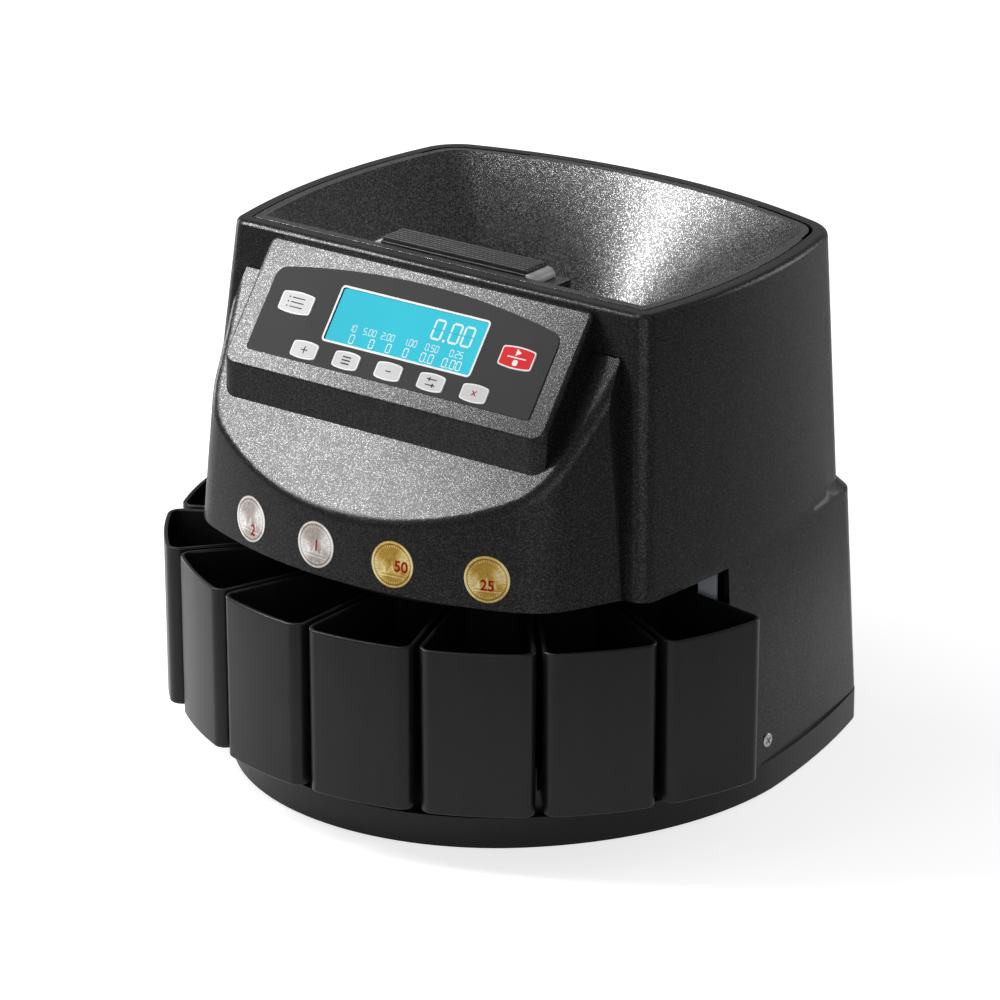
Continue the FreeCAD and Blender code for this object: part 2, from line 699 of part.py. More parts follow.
def cover_rod(x, height, radius, start, end):
    """A cylinder along Y at a rear screw, between two depths from the cover's face."""
    centre = Vector(x, back_face(x, height) + start, height)
    return Part.makeCylinder(radius, end - start, centre, Vector(0, 1, 0))


def cover_screw_places():
    """Where the rear cover's screws stand: x and height."""
    margin = 2 * size.screw_radius
    return [
        (side * (size.cover_half - margin), height)
        for side in (-1, 1)
        for height in (size.cover_low + margin, size.cover_high - margin)
    ]


def joined(solids):
    """One compound of separate solids."""
    return Part.makeCompound(solids)


# Casing

HINGE = Vector(0, size.hinge_place, size.rim_height - size.hinge_drop)


def hinge_rod(side, radius, inner_inset, outer_inset):
    """A cylinder along the hopper's hinge line, between two insets of the rim's plan."""
    inner = half_width(rim_plan(), size.hinge_place, inner_inset)
    outer = half_width(rim_plan(), size.hinge_place, outer_inset)
    return Part.makeCylinder(radius, outer - inner, HINGE + Vector(side * inner, 0, 0), Vector(side, 0, 0))


def main_housing():
    """The textured casing: rim with a ledge for the hopper, nose, cup bay and rear opening."""
    shell = housing_shell()
    seat = size.rim_height - size.flange_thick
    below = size.rim_height - size.rim_depth - 1
    opening = prism(rim_plan(), seat, size.rim_height + 1, size.rim_width)
    opening = opening.fuse(prism(rim_plan(), below, seat, size.rim_width + size.ledge_width))
    reach = 4 * size.rim_side_half
    behind = Part.makeBox(reach, reach, seat - below, Vector(-reach / 2, size.ledge_end, below))
    opening = opening.fuse(prism(rim_plan(), below, seat, size.rim_width).common(behind))
    bay = Part.makeBox(reach, reach - size.bay_back, size.skirt_height, Vector(-reach / 2, -reach, 0))
    shell = shell.cut(opening).cut(bay).cut(rear_window())
    for side in (-1, 1):
        shell = shell.fuse(hinge_rod(side, size.boss_radius, size.rim_width - 1, size.wall - 1))
        shell = shell.cut(hinge_rod(side, size.hinge_radius + size.fit_gap, size.rim_width + 1, size.wall))
        shell = shell.cut(side_rod(side, size.screw_radius + size.fit_gap, -size.screw_sink, size.wall))
        shell = shell.cut(side_rod(side, size.screw_shank + size.running_gap, -2 * size.wall, size.wall))
    return shaped(shell, "main_housing")


def base_pan():
    """The base: band and floor, hollow cup shelf with guide ribs, board posts and screw tabs."""
    floor = size.foot_height + size.base_floor
    pan = prism(base_plan(), size.foot_height, size.band_top)
    pan = pan.cut(prism(base_plan(), floor, size.band_top + 1, size.wall))
    span = CUPS / 2 * size.cup_pitch + 1
    inner = size.drum_radius + size.shelf_gap
    shelf = sector(inner, size.shelf_reach, floor, size.shelf_top, span)
    roof = size.shelf_top - size.wall
    pan = pan.fuse(shelf.cut(sector(inner + size.wall, size.shelf_reach - size.wall, floor, roof, span - 1)))
    length = size.shelf_reach - size.rib_start
    corner = Vector(-size.rib_thick / 2, -size.shelf_reach, size.shelf_top - 1)
    rib = Part.makeBox(size.rib_thick, length, size.rib_height + 1, corner)
    for angle in bay_angles():
        pan = pan.fuse(facing(rib, angle))
    for side in (-1, 1):
        width = size.post_width
        corner = Vector(side * size.post_place - width / 2, size.board_place - width, floor)
        pan = pan.fuse(Part.makeBox(width, width, size.board_high - floor, corner))
        face = screw_face() - size.wall - size.tab_gap
        tab_width = 4 * size.screw_radius
        tab_tall = size.side_screw_height - floor + tab_width / 2
        tab_x = side * (face - size.wall / 2) - size.wall / 2
        corner = Vector(tab_x, size.side_screw_place - tab_width / 2, floor)
        pan = pan.fuse(Part.makeBox(size.wall, tab_width, tab_tall, corner))
        pan = pan.cut(side_rod(side, size.screw_shank + size.fit_gap, -4 * size.wall, 0))
    return shaped(pan.removeSplitter(), "base_pan")


def side_screws():
    """The screws in the casing's sides."""
    screws = []
    for side in (-1, 1):
        head = side_rod(side, size.screw_radius, -size.screw_sink, size.screw_head - size.screw_sink)
        screws.append(head.fuse(side_rod(side, size.screw_shank, -3 * size.wall, -size.screw_sink)))
    return shaped(joined(screws), "side_screws")


def rear_cover():
    """The plate in the back with a flat recess for the inlet and the switch, on a lip inside the wall."""
    lip = size.wall + size.cover_seat
    inside = housing_solid(lip + size.cover_wall)
    plate = housing_solid().cut(inside).common(rear_window(-size.cover_gap))
    plate = plate.fuse(housing_solid(lip).cut(inside).common(rear_window(size.cover_lip)))
    half = size.recess_half
    tall = size.recess_tall
    rim = half + size.wall
    corner = Vector(-rim, size.recess_face - size.wall, size.inlet_height - tall - size.wall)
    plate = plate.fuse(Part.makeBox(2 * rim, size.wall, 2 * (tall + size.wall), corner))
    corner = Vector(-half, size.recess_face, size.inlet_height - tall)
    plate = plate.cut(Part.makeBox(2 * half, 8 * size.wall, 2 * tall, corner))
    for x, wide, high in ((size.inlet_place, size.inlet_half, size.inlet_tall),
                          (-size.inlet_place, size.switch_half, size.switch_tall)):
        wide = wide - size.socket_flange + size.running_gap
        high = high - size.socket_flange + size.running_gap
        corner = Vector(x - wide, size.recess_face - 8 * size.wall, size.inlet_height - high)
        plate = plate.cut(Part.makeBox(2 * wide, 9 * size.wall, 2 * high, corner))
    for x, height in cover_screw_places():
        plate = plate.cut(cover_rod(x, height, size.screw_radius + size.fit_gap, -size.screw_sink, size.wall))
    return shaped(plate, "rear_cover")


def cover_screws():
    """The rear cover's screws, sunk into the plate."""
    places = cover_screw_places()
    rise = size.screw_head - size.screw_sink
    return shaped(joined([cover_rod(x, z, size.screw_radius, -size.screw_sink, rise) for x, z in places]),
                  "cover_screws")


# Hopper and grip


def funnel(inset, top, radius, bottom):
    """A ruled funnel from the rim's plan, moved inwards, to the round outlet."""
    mouth = outline(rim_plan(), top, inset)
    centre = Vector(0, size.throat_place, bottom)

    def on_outlet(point):
        return centre + Vector(point.x, point.y - centre.y, 0).normalize() * radius

    spout = []
    for curve in mouth:
        ends = [on_outlet(curve.value(t)) for t in (curve.FirstParameter, curve.LastParameter)]
        middle = centre + ((ends[0] + ends[1]) * 0.5 - centre).normalize() * radius
        spout.append(Part.ArcOfCircle(ends[0], middle, ends[1]))
    return loft([wire(mouth), wire(spout)])


def hopper():
    """The bowl that swings up on pins at its rear, with a flange, an outlet and a plinth for the grip."""
    seat = size.rim_height - size.flange_thick
    outer_edge = size.rim_width + size.seam_gap
    mouth = size.rim_width + size.mouth_margin
    outlet = size.throat_top + size.outlet_gap
    flange = prism(rim_plan(), seat, size.rim_height, outer_edge)
    bowl = funnel(mouth - size.hopper_wall, size.rim_height, size.outlet_radius + size.hopper_wall, outlet)
    hollow = funnel(mouth, size.rim_height + 0.1, size.outlet_radius, outlet - 0.1)
    rail_top = grip_floor() - size.grip_lift
    front = size.rim_front - size.rim_width - size.mouth_margin + size.hopper_wall / 2
    depth = front - size.plinth_back
    width = size.plinth_half
    plinth_top = size.rim_height - size.plinth_drop
    plinth = Part.makeBox(2 * width, depth, size.plinth_thick,
                          Vector(-width, -front, plinth_top - size.plinth_thick))
    rail = size.grip_half - size.grip_roll
    plinth = plinth.fuse(Part.makeBox(2 * rail, size.grip_width, rail_top - plinth_top + 1,
                                      Vector(-rail, -size.grip_front, plinth_top - 1)))
    reach = 4 * size.rim_side_half
    beside = Part.makeBox(reach, size.lug_reach + size.lug_tail, 2 * size.flange_thick,
                          Vector(-reach / 2, size.hinge_place - size.lug_reach, seat - size.flange_thick / 2))
    beside = beside.cut(prism(rim_plan(), seat - size.flange_thick, size.rim_height + size.flange_thick,
                              outer_edge + size.lug_gap))
    shell = flange.cut(beside).fuse(bowl)
    for side in (-1, 1):
        inner = half_width(rim_plan(), size.hinge_place, mouth + size.hopper_wall)
        outer = half_width(rim_plan(), size.hinge_place, outer_edge) - size.lug_set
        lug = 2 * size.hinge_radius
        corner = HINGE + Vector(min(side * inner, side * outer), -lug, -lug)
        shell = shell.fuse(Part.makeBox(outer - inner, 2 * lug, lug + size.hinge_drop, corner))
        shell = shell.fuse(hinge_rod(side, size.hinge_radius, outer_edge + size.lug_set + 2, size.wall + 1))
    within = prism(rim_plan(), outlet, size.rim_height + size.grip_rise, outer_edge + 1)
    return shaped(shell.cut(hollow).fuse(plinth.common(within)), "hopper")


def grip_floor():
    """The height of the grip plate's underside."""
    return size.rim_height + size.grip_rise - size.grip_plate


def grip_plate():
    """The sliding plate of the grip, with its two ends rolled down."""
    top = grip_floor() + size.grip_plate
    inner = size.grip_roll - size.grip_plate
    start = Vector(0, -size.grip_front, 0)
    along = Vector(0, size.grip_width, 0)
    plate = Part.makeBox(2 * size.grip_half, size.grip_width, size.grip_plate,
                         Vector(-size.grip_half, -size.grip_front, grip_floor()))
    for side in (-1, 1):
        centre = start + Vector(side * size.grip_half, 0, top - size.grip_roll)
        roll = Part.makeCylinder(size.grip_roll, along.y, centre, along)
        roll = roll.cut(Part.makeCylinder(inner, along.y, centre, along))
        quarter = Part.makeBox(size.grip_roll, along.y, size.grip_roll,
                               centre if side > 0 else centre - Vector(size.grip_roll, 0, 0))
        plate = plate.fuse(roll.common(quarter))
    return shaped(plate.removeSplitter(), "grip_plate")


def grip_pad():
    """The ribbed pad on the grip plate."""
    top = "rim_height + grip_rise"
    half = "(grip_half - grip_margin)"
    front = "-grip_front + grip_margin"
    back = "-grip_front + grip_width - grip_margin"
    pad = [block((f"-{half}", half), (front, back), (top, f"{top} + grip_pad / 2"))]
    count = int(size.grip_ribs)
    pitch = f"(grip_width - 2 * grip_margin) / ({count} - 0.5)"
    for index in range(count):
        low = f"{front} + {index} * {pitch}"
        pad.append(block((f"-{half}", half), (low, f"{low} + {pitch} / 2"), (top, f"{top} + grip_pad")))
    return node(fused(*pad), "grip_pad")


# Panel

PANEL = Placement(
    Vector(0, spindle_y - size.panel_reach, size.panel_foot), Rotation(Vector(1, 0, 0), size.panel_tilt)
)


def panel_plan(low):
    """The panel's outline in its own plane, from a place on the slope to its upper edge."""
    return [
        Corner(-size.panel_low_half, low, size.panel_corner),
        Corner(size.panel_low_half, low, size.panel_corner),
        Corner(size.panel_high_half, size.panel_length, size.panel_edge),
        Corner(-size.panel_high_half, size.panel_length, size.panel_edge),
    ]


def key_plan(u, v, width, side):
    """A key's outline: straight sides, bowed upper and lower edges."""
    half = width / 2
    reach = side / 2
    bow = reach + size.key_bow
    return [
        Corner(u - half, v - reach, size.key_corner, (u, v - bow)),
        Corner(u + half, v - reach, size.key_corner),
        Corner(u + half, v + reach, size.key_corner, (u, v + bow)),
        Corner(u - half, v + reach, size.key_corner),
    ]


def box_plan(low_u, high_u, low_v, high_v, radius=0.0):
    """A rectangle in a plane, with rounded corners."""
    return [
        Corner(low_u, low_v, radius),
        Corner(high_u, low_v, radius),
        Corner(high_u, high_v, radius),
        Corner(low_u, high_v, radius),
    ]


KEYS = {
    name: key_plan(side * size.large_key_place, size.large_key_row, size.large_key_width, size.large_key_side)
    for name, side in (("key_report", -1), ("key_start", 1))
}
for place, name in enumerate(("key_plus", "key_batch", "key_minus", "key_set", "key_clear"), start=-2):
    KEYS[name] = key_plan(place * size.key_pitch, size.key_row, size.small_key_width, size.small_key_side)
DISPLAY = box_plan(
    -size.display_half, size.display_half, size.display_low, size.display_high, size.key_corner
)
BOARD = box_plan(-size.board_half, size.board_half, size.board_low, size.board_far)
OVERLAY = [
    Corner(-size.overlay_half, size.overlay_low, size.key_corner),
    Corner(size.overlay_half, size.overlay_low, size.key_corner),
    Corner(size.overlay_half, size.overlay_side, size.overlay_corner, (0, size.overlay_crown)),
    Corner(-size.overlay_half, size.overlay_side, size.overlay_corner),
]


def standoff_places():
    """Where the panel board's standoffs stand, on the panel's plane."""
    margin = 2 * size.standoff_radius
    return [
        (side * (size.board_half - margin), v)
        for side in (-1, 1)
        for v in (size.board_low + margin, size.board_far - margin)
    ]


def panel_housing():
    """The sloped box on the scoop: a face with openings, walls, and standoffs for its board."""
    tilt = math.radians(size.panel_tilt)
    depth = size.panel_lip * math.cos(tilt)
    slide = size.panel_lip * math.sin(tilt)
    thick = size.panel_wall

    def slab(inset, top, bottom):
        share = [-top / depth * slide, -bottom / depth * slide]
        stack = zip((top, bottom), share)
        return loft([wire(outline(panel_plan(-low), height, inset)) for height, low in stack])

    outer = slab(0, 0, -2 * depth)
    face_edges = [edge for edge in outer.Edges if edge.BoundBox.ZMin > -0.01]
    box = outer.makeFillet(size.panel_round, face_edges).cut(slab(thick, -thick, -2 * depth - 1))
    for u, v in standoff_places():
        foot = Vector(u, v, -size.board_drop)
        box = box.fuse(Part.makeCylinder(size.standoff_radius, size.board_drop - thick, foot))
    for plan in [*KEYS.values(), DISPLAY]:
        box = box.cut(prism(plan, -2 * thick, 1, -size.key_gap))
    inverse = PANEL.inverse() * Placement(Vector(0, spindle_y, 0), Rotation())
    body = housing_solid()
    body.Placement = inverse
    space = above_scoop()
    space.Placement = inverse * space.Placement
    return shaped(box.common(space).cut(body), "panel_housing", PANEL)


# Bodies drawn in sketches


def new_body(label, frame=None):
    """A body that stands on the spindle, or in the panel's plane."""
    body = doc.addObject("PartDesign::Body", label)
    body.Placement = frame or Placement(Vector(0, spindle_y, 0), Rotation())
    return node(body, label)


def drawn(body, loops, height):
    """A sketch of closed outlines in one of the body's own planes, at a height."""
    sketch = body.newObject("Sketcher::SketchObject", "Outline")
    plane = next(item for item in body.Origin.OriginFeatures if item.Role == "XY_Plane")
    sketch.AttachmentSupport = [(plane, "")]
    sketch.MapMode = "FlatFace"
    sketch.setExpression("AttachmentOffset.Base.z", cells(height))
    for loop in loops:
        sketch.addGeometry(loop, False)
    return sketch


def feature(body, kind, sketch, length):
    """A pad or a pocket of a sketch, with a length bound to the sheet."""
    made = body.newObject(f"PartDesign::{kind}", kind)
    made.Profile = sketch
    made.setExpression("Length", cells(length))
    return made


def circle(radius):
    """A round outline about the spindle."""
    return [Part.Circle(Vector(), Vector(0, 0, 1), radius)]


def turned(corners, angle):
    """A straight-sided outline that lies along the front, turned about the spindle."""
    turn = Rotation(Vector(0, 0, 1), angle)
    points = [turn.multVec(Vector(corner.x, corner.y, 0)) for corner in corners]
    return outline([Corner(point.x, point.y, corner.radius) for point, corner in zip(points, corners)])


def panel_overlay():
    """The printed film on the panel's face, open for the keys and the display."""
    body = new_body("panel_overlay", PANEL)
    holes = [outline(plan, 0, -size.key_gap) for plan in [*KEYS.values(), DISPLAY]]
    feature(body, "Pad", drawn(body, [outline(OVERLAY), *holes], "0"), "overlay_thick")


def display_window():
    """The clear window over the display."""
    body = new_body("display_window", PANEL)
    feature(body, "Pad", drawn(body, [outline(DISPLAY)], "-window_drop"), "window_drop + overlay_thick")


def lcd_module():
    """The display under its window, with a wider frame below the face."""
    body = new_body("lcd_module", PANEL)
    low = "-board_drop"
    frame = outline(DISPLAY, 0, -size.display_frame)
    feature(body, "Pad", drawn(body, [frame], low), "board_drop - panel_wall - window_drop")
    glass = outline(DISPLAY, 0, size.key_gap)
    feature(body, "Pad", drawn(body, [glass], low), "board_drop - window_drop")


def panel_board():
    """The panel's circuit board."""
    body = new_body("panel_board", PANEL)
    feature(body, "Pad", drawn(body, [outline(BOARD)], "-board_drop - board_thick"), "board_thick")


def key_switches():
    """A small switch on the board under each key."""
    switches = []
    half = size.switch_size / 2
    top = -size.panel_wall - size.key_flange - size.key_travel - 2 * size.key_play
    for plan in KEYS.values():
        u = (plan[0].x + plan[1].x) / 2
        v = (plan[1].y + plan[2].y) / 2
        plan = box_plan(u - half, u + half, v - half, v + half)
        switches.append(prism(plan, -size.board_drop, top))
    return shaped(joined(switches), "key_switches", PANEL)


def panel_keys():
    """The keys: a cap through the face and a flange below it."""
    for name, plan in KEYS.items():
        body = new_body(name, PANEL)
        low = "-panel_wall - key_play"
        cap = drawn(body, [outline(plan)], f"{low} - key_flange")
        feature(body, "Pad", cap, "key_flange + panel_wall + key_play + overlay_thick + key_proud")
        flange = drawn(body, [outline(plan, 0, -size.key_flange)], f"{low} - key_flange")
        feature(body, "Pad", flange, "key_flange")


# Cups


def cup(label, angle, out=0.0):
    """A wedge-shaped cup that narrows towards its floor, pulled out by an amount."""
    body = new_body(label)
    turn = Rotation(Vector(0, 0, 1), angle)
    body.Placement = Placement(Vector(0, spindle_y, 0) + turn.multVec(Vector(0, -out, 0)), turn)
    floor = "shelf_top + cup_lift"
    plan = cup_plan()
    inside = f"{floor} + cup_wall"
    for kind, inset, low in (("AdditiveLoft", 0.0, floor), ("SubtractiveLoft", size.cup_wall, inside)):
        bottom = drawn(body, [outline(plan, 0, inset + size.cup_draft)], low)
        top = drawn(body, [outline(plan, 0, inset)], "cup_top")
        walls = body.newObject(f"PartDesign::{kind}", kind)
        walls.Profile = bottom
        walls.Sections = [top]
        walls.Ruled = True


# Coin mechanism


def involute_gear(teeth, low, high, bore):
    """A spur gear on the Z axis with one tooth centred on +X."""
    pitch = size.gear_module * teeth / 2
    pressure = math.radians(size.pressure_angle)
    base = pitch * math.cos(pressure)
    tip = pitch + size.gear_module
    root = pitch - 1.25 * size.gear_module
    half_tooth = math.pi / (2 * teeth) - size.tooth_slack / (2 * pitch)

    def flank(radius):
        angle = math.acos(base / radius)
        return half_tooth + math.tan(pressure) - pressure - math.tan(angle) + angle

    start = max(base, root) + 0.01
    radii = [start + (tip - start) * step / 4 for step in range(5)]
    side = [(root, flank(start)), *[(radius, flank(radius)) for radius in radii]]
    tooth = [(radius, -angle) for radius, angle in side]
    tooth += reversed(side)
    points = []
    for index in range(teeth):
        turn = 2 * math.pi * index / teeth
        for radius, angle in tooth:
            points.append(Vector(radius * math.cos(turn + angle), radius * math.sin(turn + angle), low))
    face = Part.Face(Part.makePolygon([*points, points[0]]))
    gear = face.extrude(Vector(0, 0, high - low))
    return gear.cut(Part.makeCylinder(bore, high - low, Vector(0, 0, low))) if bore else gear


GEAR_TOP = size.gear_height + size.gear_width
MOTOR_Y = size.gear_module * (size.gear_teeth + size.pinion_teeth) / 2
MOTOR = "gear_module * (gear_teeth + pinion_teeth) / 2"


def drive_gears():
    """The gear on the spindle and the pinion on the motor's shaft, in mesh."""
    bore = size.shaft_radius + size.fit_gap
    shaped(involute_gear(int(size.gear_teeth), size.gear_height, GEAR_TOP, bore), "drive_gear")
    pinion = involute_gear(int(size.pinion_teeth), size.gear_height, GEAR_TOP, 0)
    shaft = size.deck_height - size.shaft_depth
    pinion = pinion.fuse(Part.makeCylinder(size.motor_shaft, GEAR_TOP - shaft, Vector(0, 0, shaft)))
    shaped(pinion, "motor_pinion", Placement(Vector(0, spindle_y + MOTOR_Y, 0), Rotation()))


def ring(outer, inner, z):
    """An upright ring about the spindle between two heights."""
    return less(rod(outer, z), rod(inner, z))


def drum_frame():
    """The round inner frame with a ledge for the deck and a flange for the chutes."""
    floor = "foot_height + base_floor"
    wall = ring("drum_radius", "drum_radius - drum_wall", (floor, "drum_top"))
    ledge = ring("drum_radius - drum_wall / 2", "drum_radius - drum_wall - drum_ledge",
                 ("deck_height - deck_thick", "deck_height"))
    flange = ring("drum_radius + drum_flange", "drum_radius - drum_wall / 2",
                  ("drop_height - drum_wall", "drop_height"))
    node(fused(wall, ledge, flange), "drum_frame")


def spindle_parts():
    """Deck, bearing block, bearings, motor and shaft."""
    deck = ("deck_height", "deck_height + deck_thick")
    hub = "bearing_radius"
    node(less(rod("drum_radius - drum_wall - running_gap", deck), rod(hub, deck),
              rod("motor_shaft + fit_gap + running_gap", deck, y=MOTOR)), "deck_plate")
    low = "deck_height - bearing_block"
    seat = "bearing_width"
    block_body = fused(rod("bearing_radius + 2 * drum_wall", (low, "deck_height")),
                       rod("bearing_radius + 4 * drum_wall", ("deck_height - drum_wall", "deck_height")))
    node(less(block_body, rod("bearing_radius - 2", (low, "deck_height")),
              rod("bearing_radius + fit_gap", (low, f"{low} + {seat}")),
              rod("bearing_radius + fit_gap", (f"deck_height - {seat}", "deck_height"))), "bearing_block")
    bore = "shaft_radius + fit_gap"
    node(group(ring("bearing_radius", bore, (low, f"{low} + {seat}")),
               ring("bearing_radius", bore, (f"deck_height - {seat}", "deck_height"))), "spindle_bearings")
    node(rod("shaft_radius", (low, "track_height")), "drive_shaft")
    box_low = "deck_height - gearbox_length"
    case = fused(rod("motor_radius", (box_low, "deck_height"), y=MOTOR),
                 rod("can_radius", (f"{box_low} - can_length", box_low), y=MOTOR))
    bore = rod("motor_shaft + fit_gap", ("deck_height - shaft_depth", "deck_height"), y=MOTOR)
    node(less(case, bore), "gear_motor")


def coin_disc():
    """The spinning disc with its hub, and the cone that spreads the coins."""
    top = "track_height"
    hub = "gear_height + gear_width"
    disc = fused(rod("disc_radius", ("disc_height", top)), rod("bearing_radius", (hub, "disc_height")))
    node(less(disc, rod("shaft_radius + fit_gap", (hub, top))), "coin_disc")
    cone = doc.addObject("Part::Cone", "Cone")
    cone.setExpression("Radius1", cells("cone_radius"))
    cone.setExpression("Radius2", cells("cone_radius / 4"))
    cone.setExpression("Height", cells("cone_height"))
    cone.setExpression("Placement.Base.y", cells(SPINDLE))
    cone.setExpression("Placement.Base.z", cells(top))
    node(cone, "disc_cone")


def stations():
    """The stretches of the coin track, as an angle and a half angle: one over each cup, plain ones behind."""
    front = [(angle, size.cup_pitch / 2) for angle in cup_angles()]
    plain = int(size.rear_plates)
    half = (360 - CUPS * size.cup_pitch) / 2 / plain
    start = CUPS / 2 * size.cup_pitch + half
    return front + [(start + 2 * half * index, half) for index in range(plain)]


def sorting_track():
    """The steel plates beside the disc: slotted ones over the cups, each slot wider, and plain ones."""
    inner = size.disc_radius + size.disc_gap
    top = size.track_height
    start = inner + size.slot_ledge
    half = size.slot_length / 2
    plates = [facing(sector(inner, size.guide_radius, size.ring_height, top, reach), angle)
              for angle, reach in stations()]
    slotted = []
    for index, angle in enumerate(cup_angles()):
        width = size.slot_small + index * size.slot_step
        slot = prism(box_plan(-half, half, -start - width, -start, size.slot_corner), size.ring_height, top)
        slotted.append(plates[index].cut(facing(slot, angle)))
    shaped(joined(slotted), "slot_plates")
    shaped(joined(plates[CUPS:]), "track_plates")


def drop_guide():
    """The chutes between the coin track and the cups: a wall behind each slot, and vanes between them."""
    low = size.drop_height
    half = size.guide_vane / 2
    inner = size.guide_radius - size.guide_wall
    wall = sector(inner, size.guide_radius, low, size.ring_height, size.cup_pitch / 2)
    walls = [facing(wall, angle) for angle in cup_angles()]
    start = size.drum_radius + size.drum_flange / 2
    depth = size.ring_height - size.wing_low
    width = size.wing_reach - size.drum_radius - size.shelf_gap
    for side in (-1, 1):
        edge = size.wing_reach if side < 0 else size.wing_reach - width
        corner = Vector(side * edge, -size.bay_back + half, size.wing_low)
        wing = Part.makeBox(width, size.guide_vane, depth, corner)
        walls.append(wing.cut(Part.makeCylinder(size.guide_radius, depth, Vector(0, 0, size.wing_low))))
        end = sector(inner, size.guide_radius, low, size.ring_height, size.guide_vane)
        walls.append(facing(end, side * (CUPS / 2 * size.cup_pitch + size.guide_vane)))
    shaped(joined(walls), "drop_walls")
    corner = Vector(-half, -inner + size.fit_gap, low)
    vane = Part.makeBox(size.guide_vane, inner - size.fit_gap - start, size.ring_height - low, corner)
    room = size.disc_radius + 2 * size.disc_gap
    vane = vane.cut(Part.makeCylinder(room, size.deck_height, Vector(0, 0, size.drum_top)))
    shaped(joined([facing(vane, angle) for angle in (*bay_angles(), 120, 180, 240)]), "drop_vanes")


def track_cover():
    """The wall round the coin track, its flat cover, and the throat that meets the hopper."""
    inner = size.guide_radius - size.guide_wall
    wall = []
    for angle, half in stations():
        stretch = sector(inner, size.guide_radius, size.track_height, size.roof_height, half)
        wall.append(facing(stretch, angle))
    shaped(joined(wall), "track_wall")
    top = "roof_height + cover_thick"
    cover = rod("guide_radius", ("roof_height", top))
    node(less(cover, rod("throat_radius", ("roof_height", top), y="throat_place")), "track_cover")
    throat = rod("throat_radius + hopper_wall", (top, "throat_top"), y="throat_place")
    node(less(throat, rod("throat_radius", (top, "throat_top"), y="throat_place")), "coin_throat")


def coin_sensors():
    """The small sensor blocks on the track cover, one over each slot."""
    body = new_body("coin_sensors")
    half = size.sensor_size / 2
    middle = size.disc_radius + size.slot_ledge + size.slot_small / 2
    plan = box_plan(-half, half, -middle - half, -middle + half)
    loops = [turned(plan, angle) for angle in cup_angles()]
    feature(body, "Pad", drawn(body, loops, "roof_height + cover_thick"), "sensor_size / 2")


# Power and boards


def power_parts():
    """Inlet with its blades, switch with its rocker, main board and power supply."""
    face = "recess_face"
    place = "inlet_place"

    def tray(middle, half, tall, depth, cavity):
        mid = f"({middle})"
        inner = f"({half} - socket_flange)"
        inner_tall = f"({tall} - socket_flange)"
        flange = block((f"{mid} - {half}", f"{mid} + {half}"), (face, f"{face} + inlet_wall"),
                       (f"inlet_height - {tall}", f"inlet_height + {tall}"))
        body = block((f"{mid} - {inner}", f"{mid} + {inner}"), (f"{face} - {depth}", face),
                     (f"inlet_height - {inner_tall}", f"inlet_height + {inner_tall}"))
        wide = f"({inner} - inlet_wall)"
        high = f"({inner_tall} - inlet_wall)"
        hole = block((f"{mid} - {wide}", f"{mid} + {wide}"), (f"{face} - {cavity}", f"{face} + inlet_wall"),
                     (f"inlet_height - {high}", f"inlet_height + {high}"))
        return less(fused(flange, body), hole)

    floor = f"{face} - inlet_depth + inlet_wall"
    node(tray(place, "inlet_half", "inlet_tall", "inlet_depth", "(inlet_depth - inlet_wall)"), "power_inlet")
    blades = []
    for step, drop in ((-1, 1), (0, -2), (1, 1)):
        middle = f"{place} + {step} * blade_pitch"
        height = f"inlet_height + {drop} * blade_thick"
        blades.append(block((f"{middle} - blade_thick / 2", f"{middle} + blade_thick / 2"),
                            (floor, f"{floor} + blade_depth"),
                            (f"{height} - blade_thick", f"{height} + blade_thick")))
    node(group(*blades), "inlet_blades")
    bezel = tray(f"-{place}", "switch_half", "switch_tall", "switch_depth", "(switch_depth - inlet_wall)")
    pin_y = f"{face} - rocker_drop"
    pin_half = "(switch_half - socket_flange - blade_thick / 4)"
    pins = (f"-{place} - {pin_half}", f"-{place} + {pin_half}")
    node(less(bezel, cross_rod("rocker_pin + fit_gap", pins, pin_y, "inlet_height")), "power_switch")
    half = size.switch_half - size.socket_flange - size.inlet_wall - size.rocker_gap
    tall = size.switch_tall - size.socket_flange - size.inlet_wall - 3 * size.rocker_gap
    reach = size.rocker_drop + size.inlet_wall
    rocker = Part.makeBox(2 * half, reach + size.rocker_pin, 2 * tall, Vector(-half, -size.rocker_pin, -tall))
    rocker.rotate(Vector(), Vector(1, 0, 0), size.rocker_tilt)
    pin = size.switch_half - size.socket_flange - size.blade_thick / 2
    rocker = rocker.fuse(Part.makeCylinder(size.rocker_pin, 2 * pin, Vector(-pin, 0, 0), Vector(1, 0, 0)))
    pivot = Vector(-size.inlet_place, spindle_y + size.recess_face - size.rocker_drop, size.inlet_height)
    shaped(rocker, "power_rocker", Placement(pivot, Rotation()))
    board = ("board_place", "board_place + board_thick")
    node(block(("-board_wide", "board_wide"), board, ("cover_low", "board_high")), "main_board")
    near = "board_place - chip_tall"
    deep = (near, "board_place")
    chips = [
        block(("-board_wide + 16", "-board_wide + 28"), deep, ("board_high - 24", "board_high - 8")),
        block(("-12", "12"), (f"{near} + 6", "board_place"), ("inlet_height + 8", "inlet_height + 30")),
        block(("board_wide - 30", "board_wide - 16"), deep, ("board_high - 30", "board_high - 6")),
    ]
    node(group(*chips), "board_parts")
    floor = "foot_height + base_floor"
    supply = block(("supply_place", "supply_place + supply_wide"),
                   ("supply_front", "supply_front + supply_long"), (floor, f"{floor} + supply_tall"))
    node(supply, "power_supply")


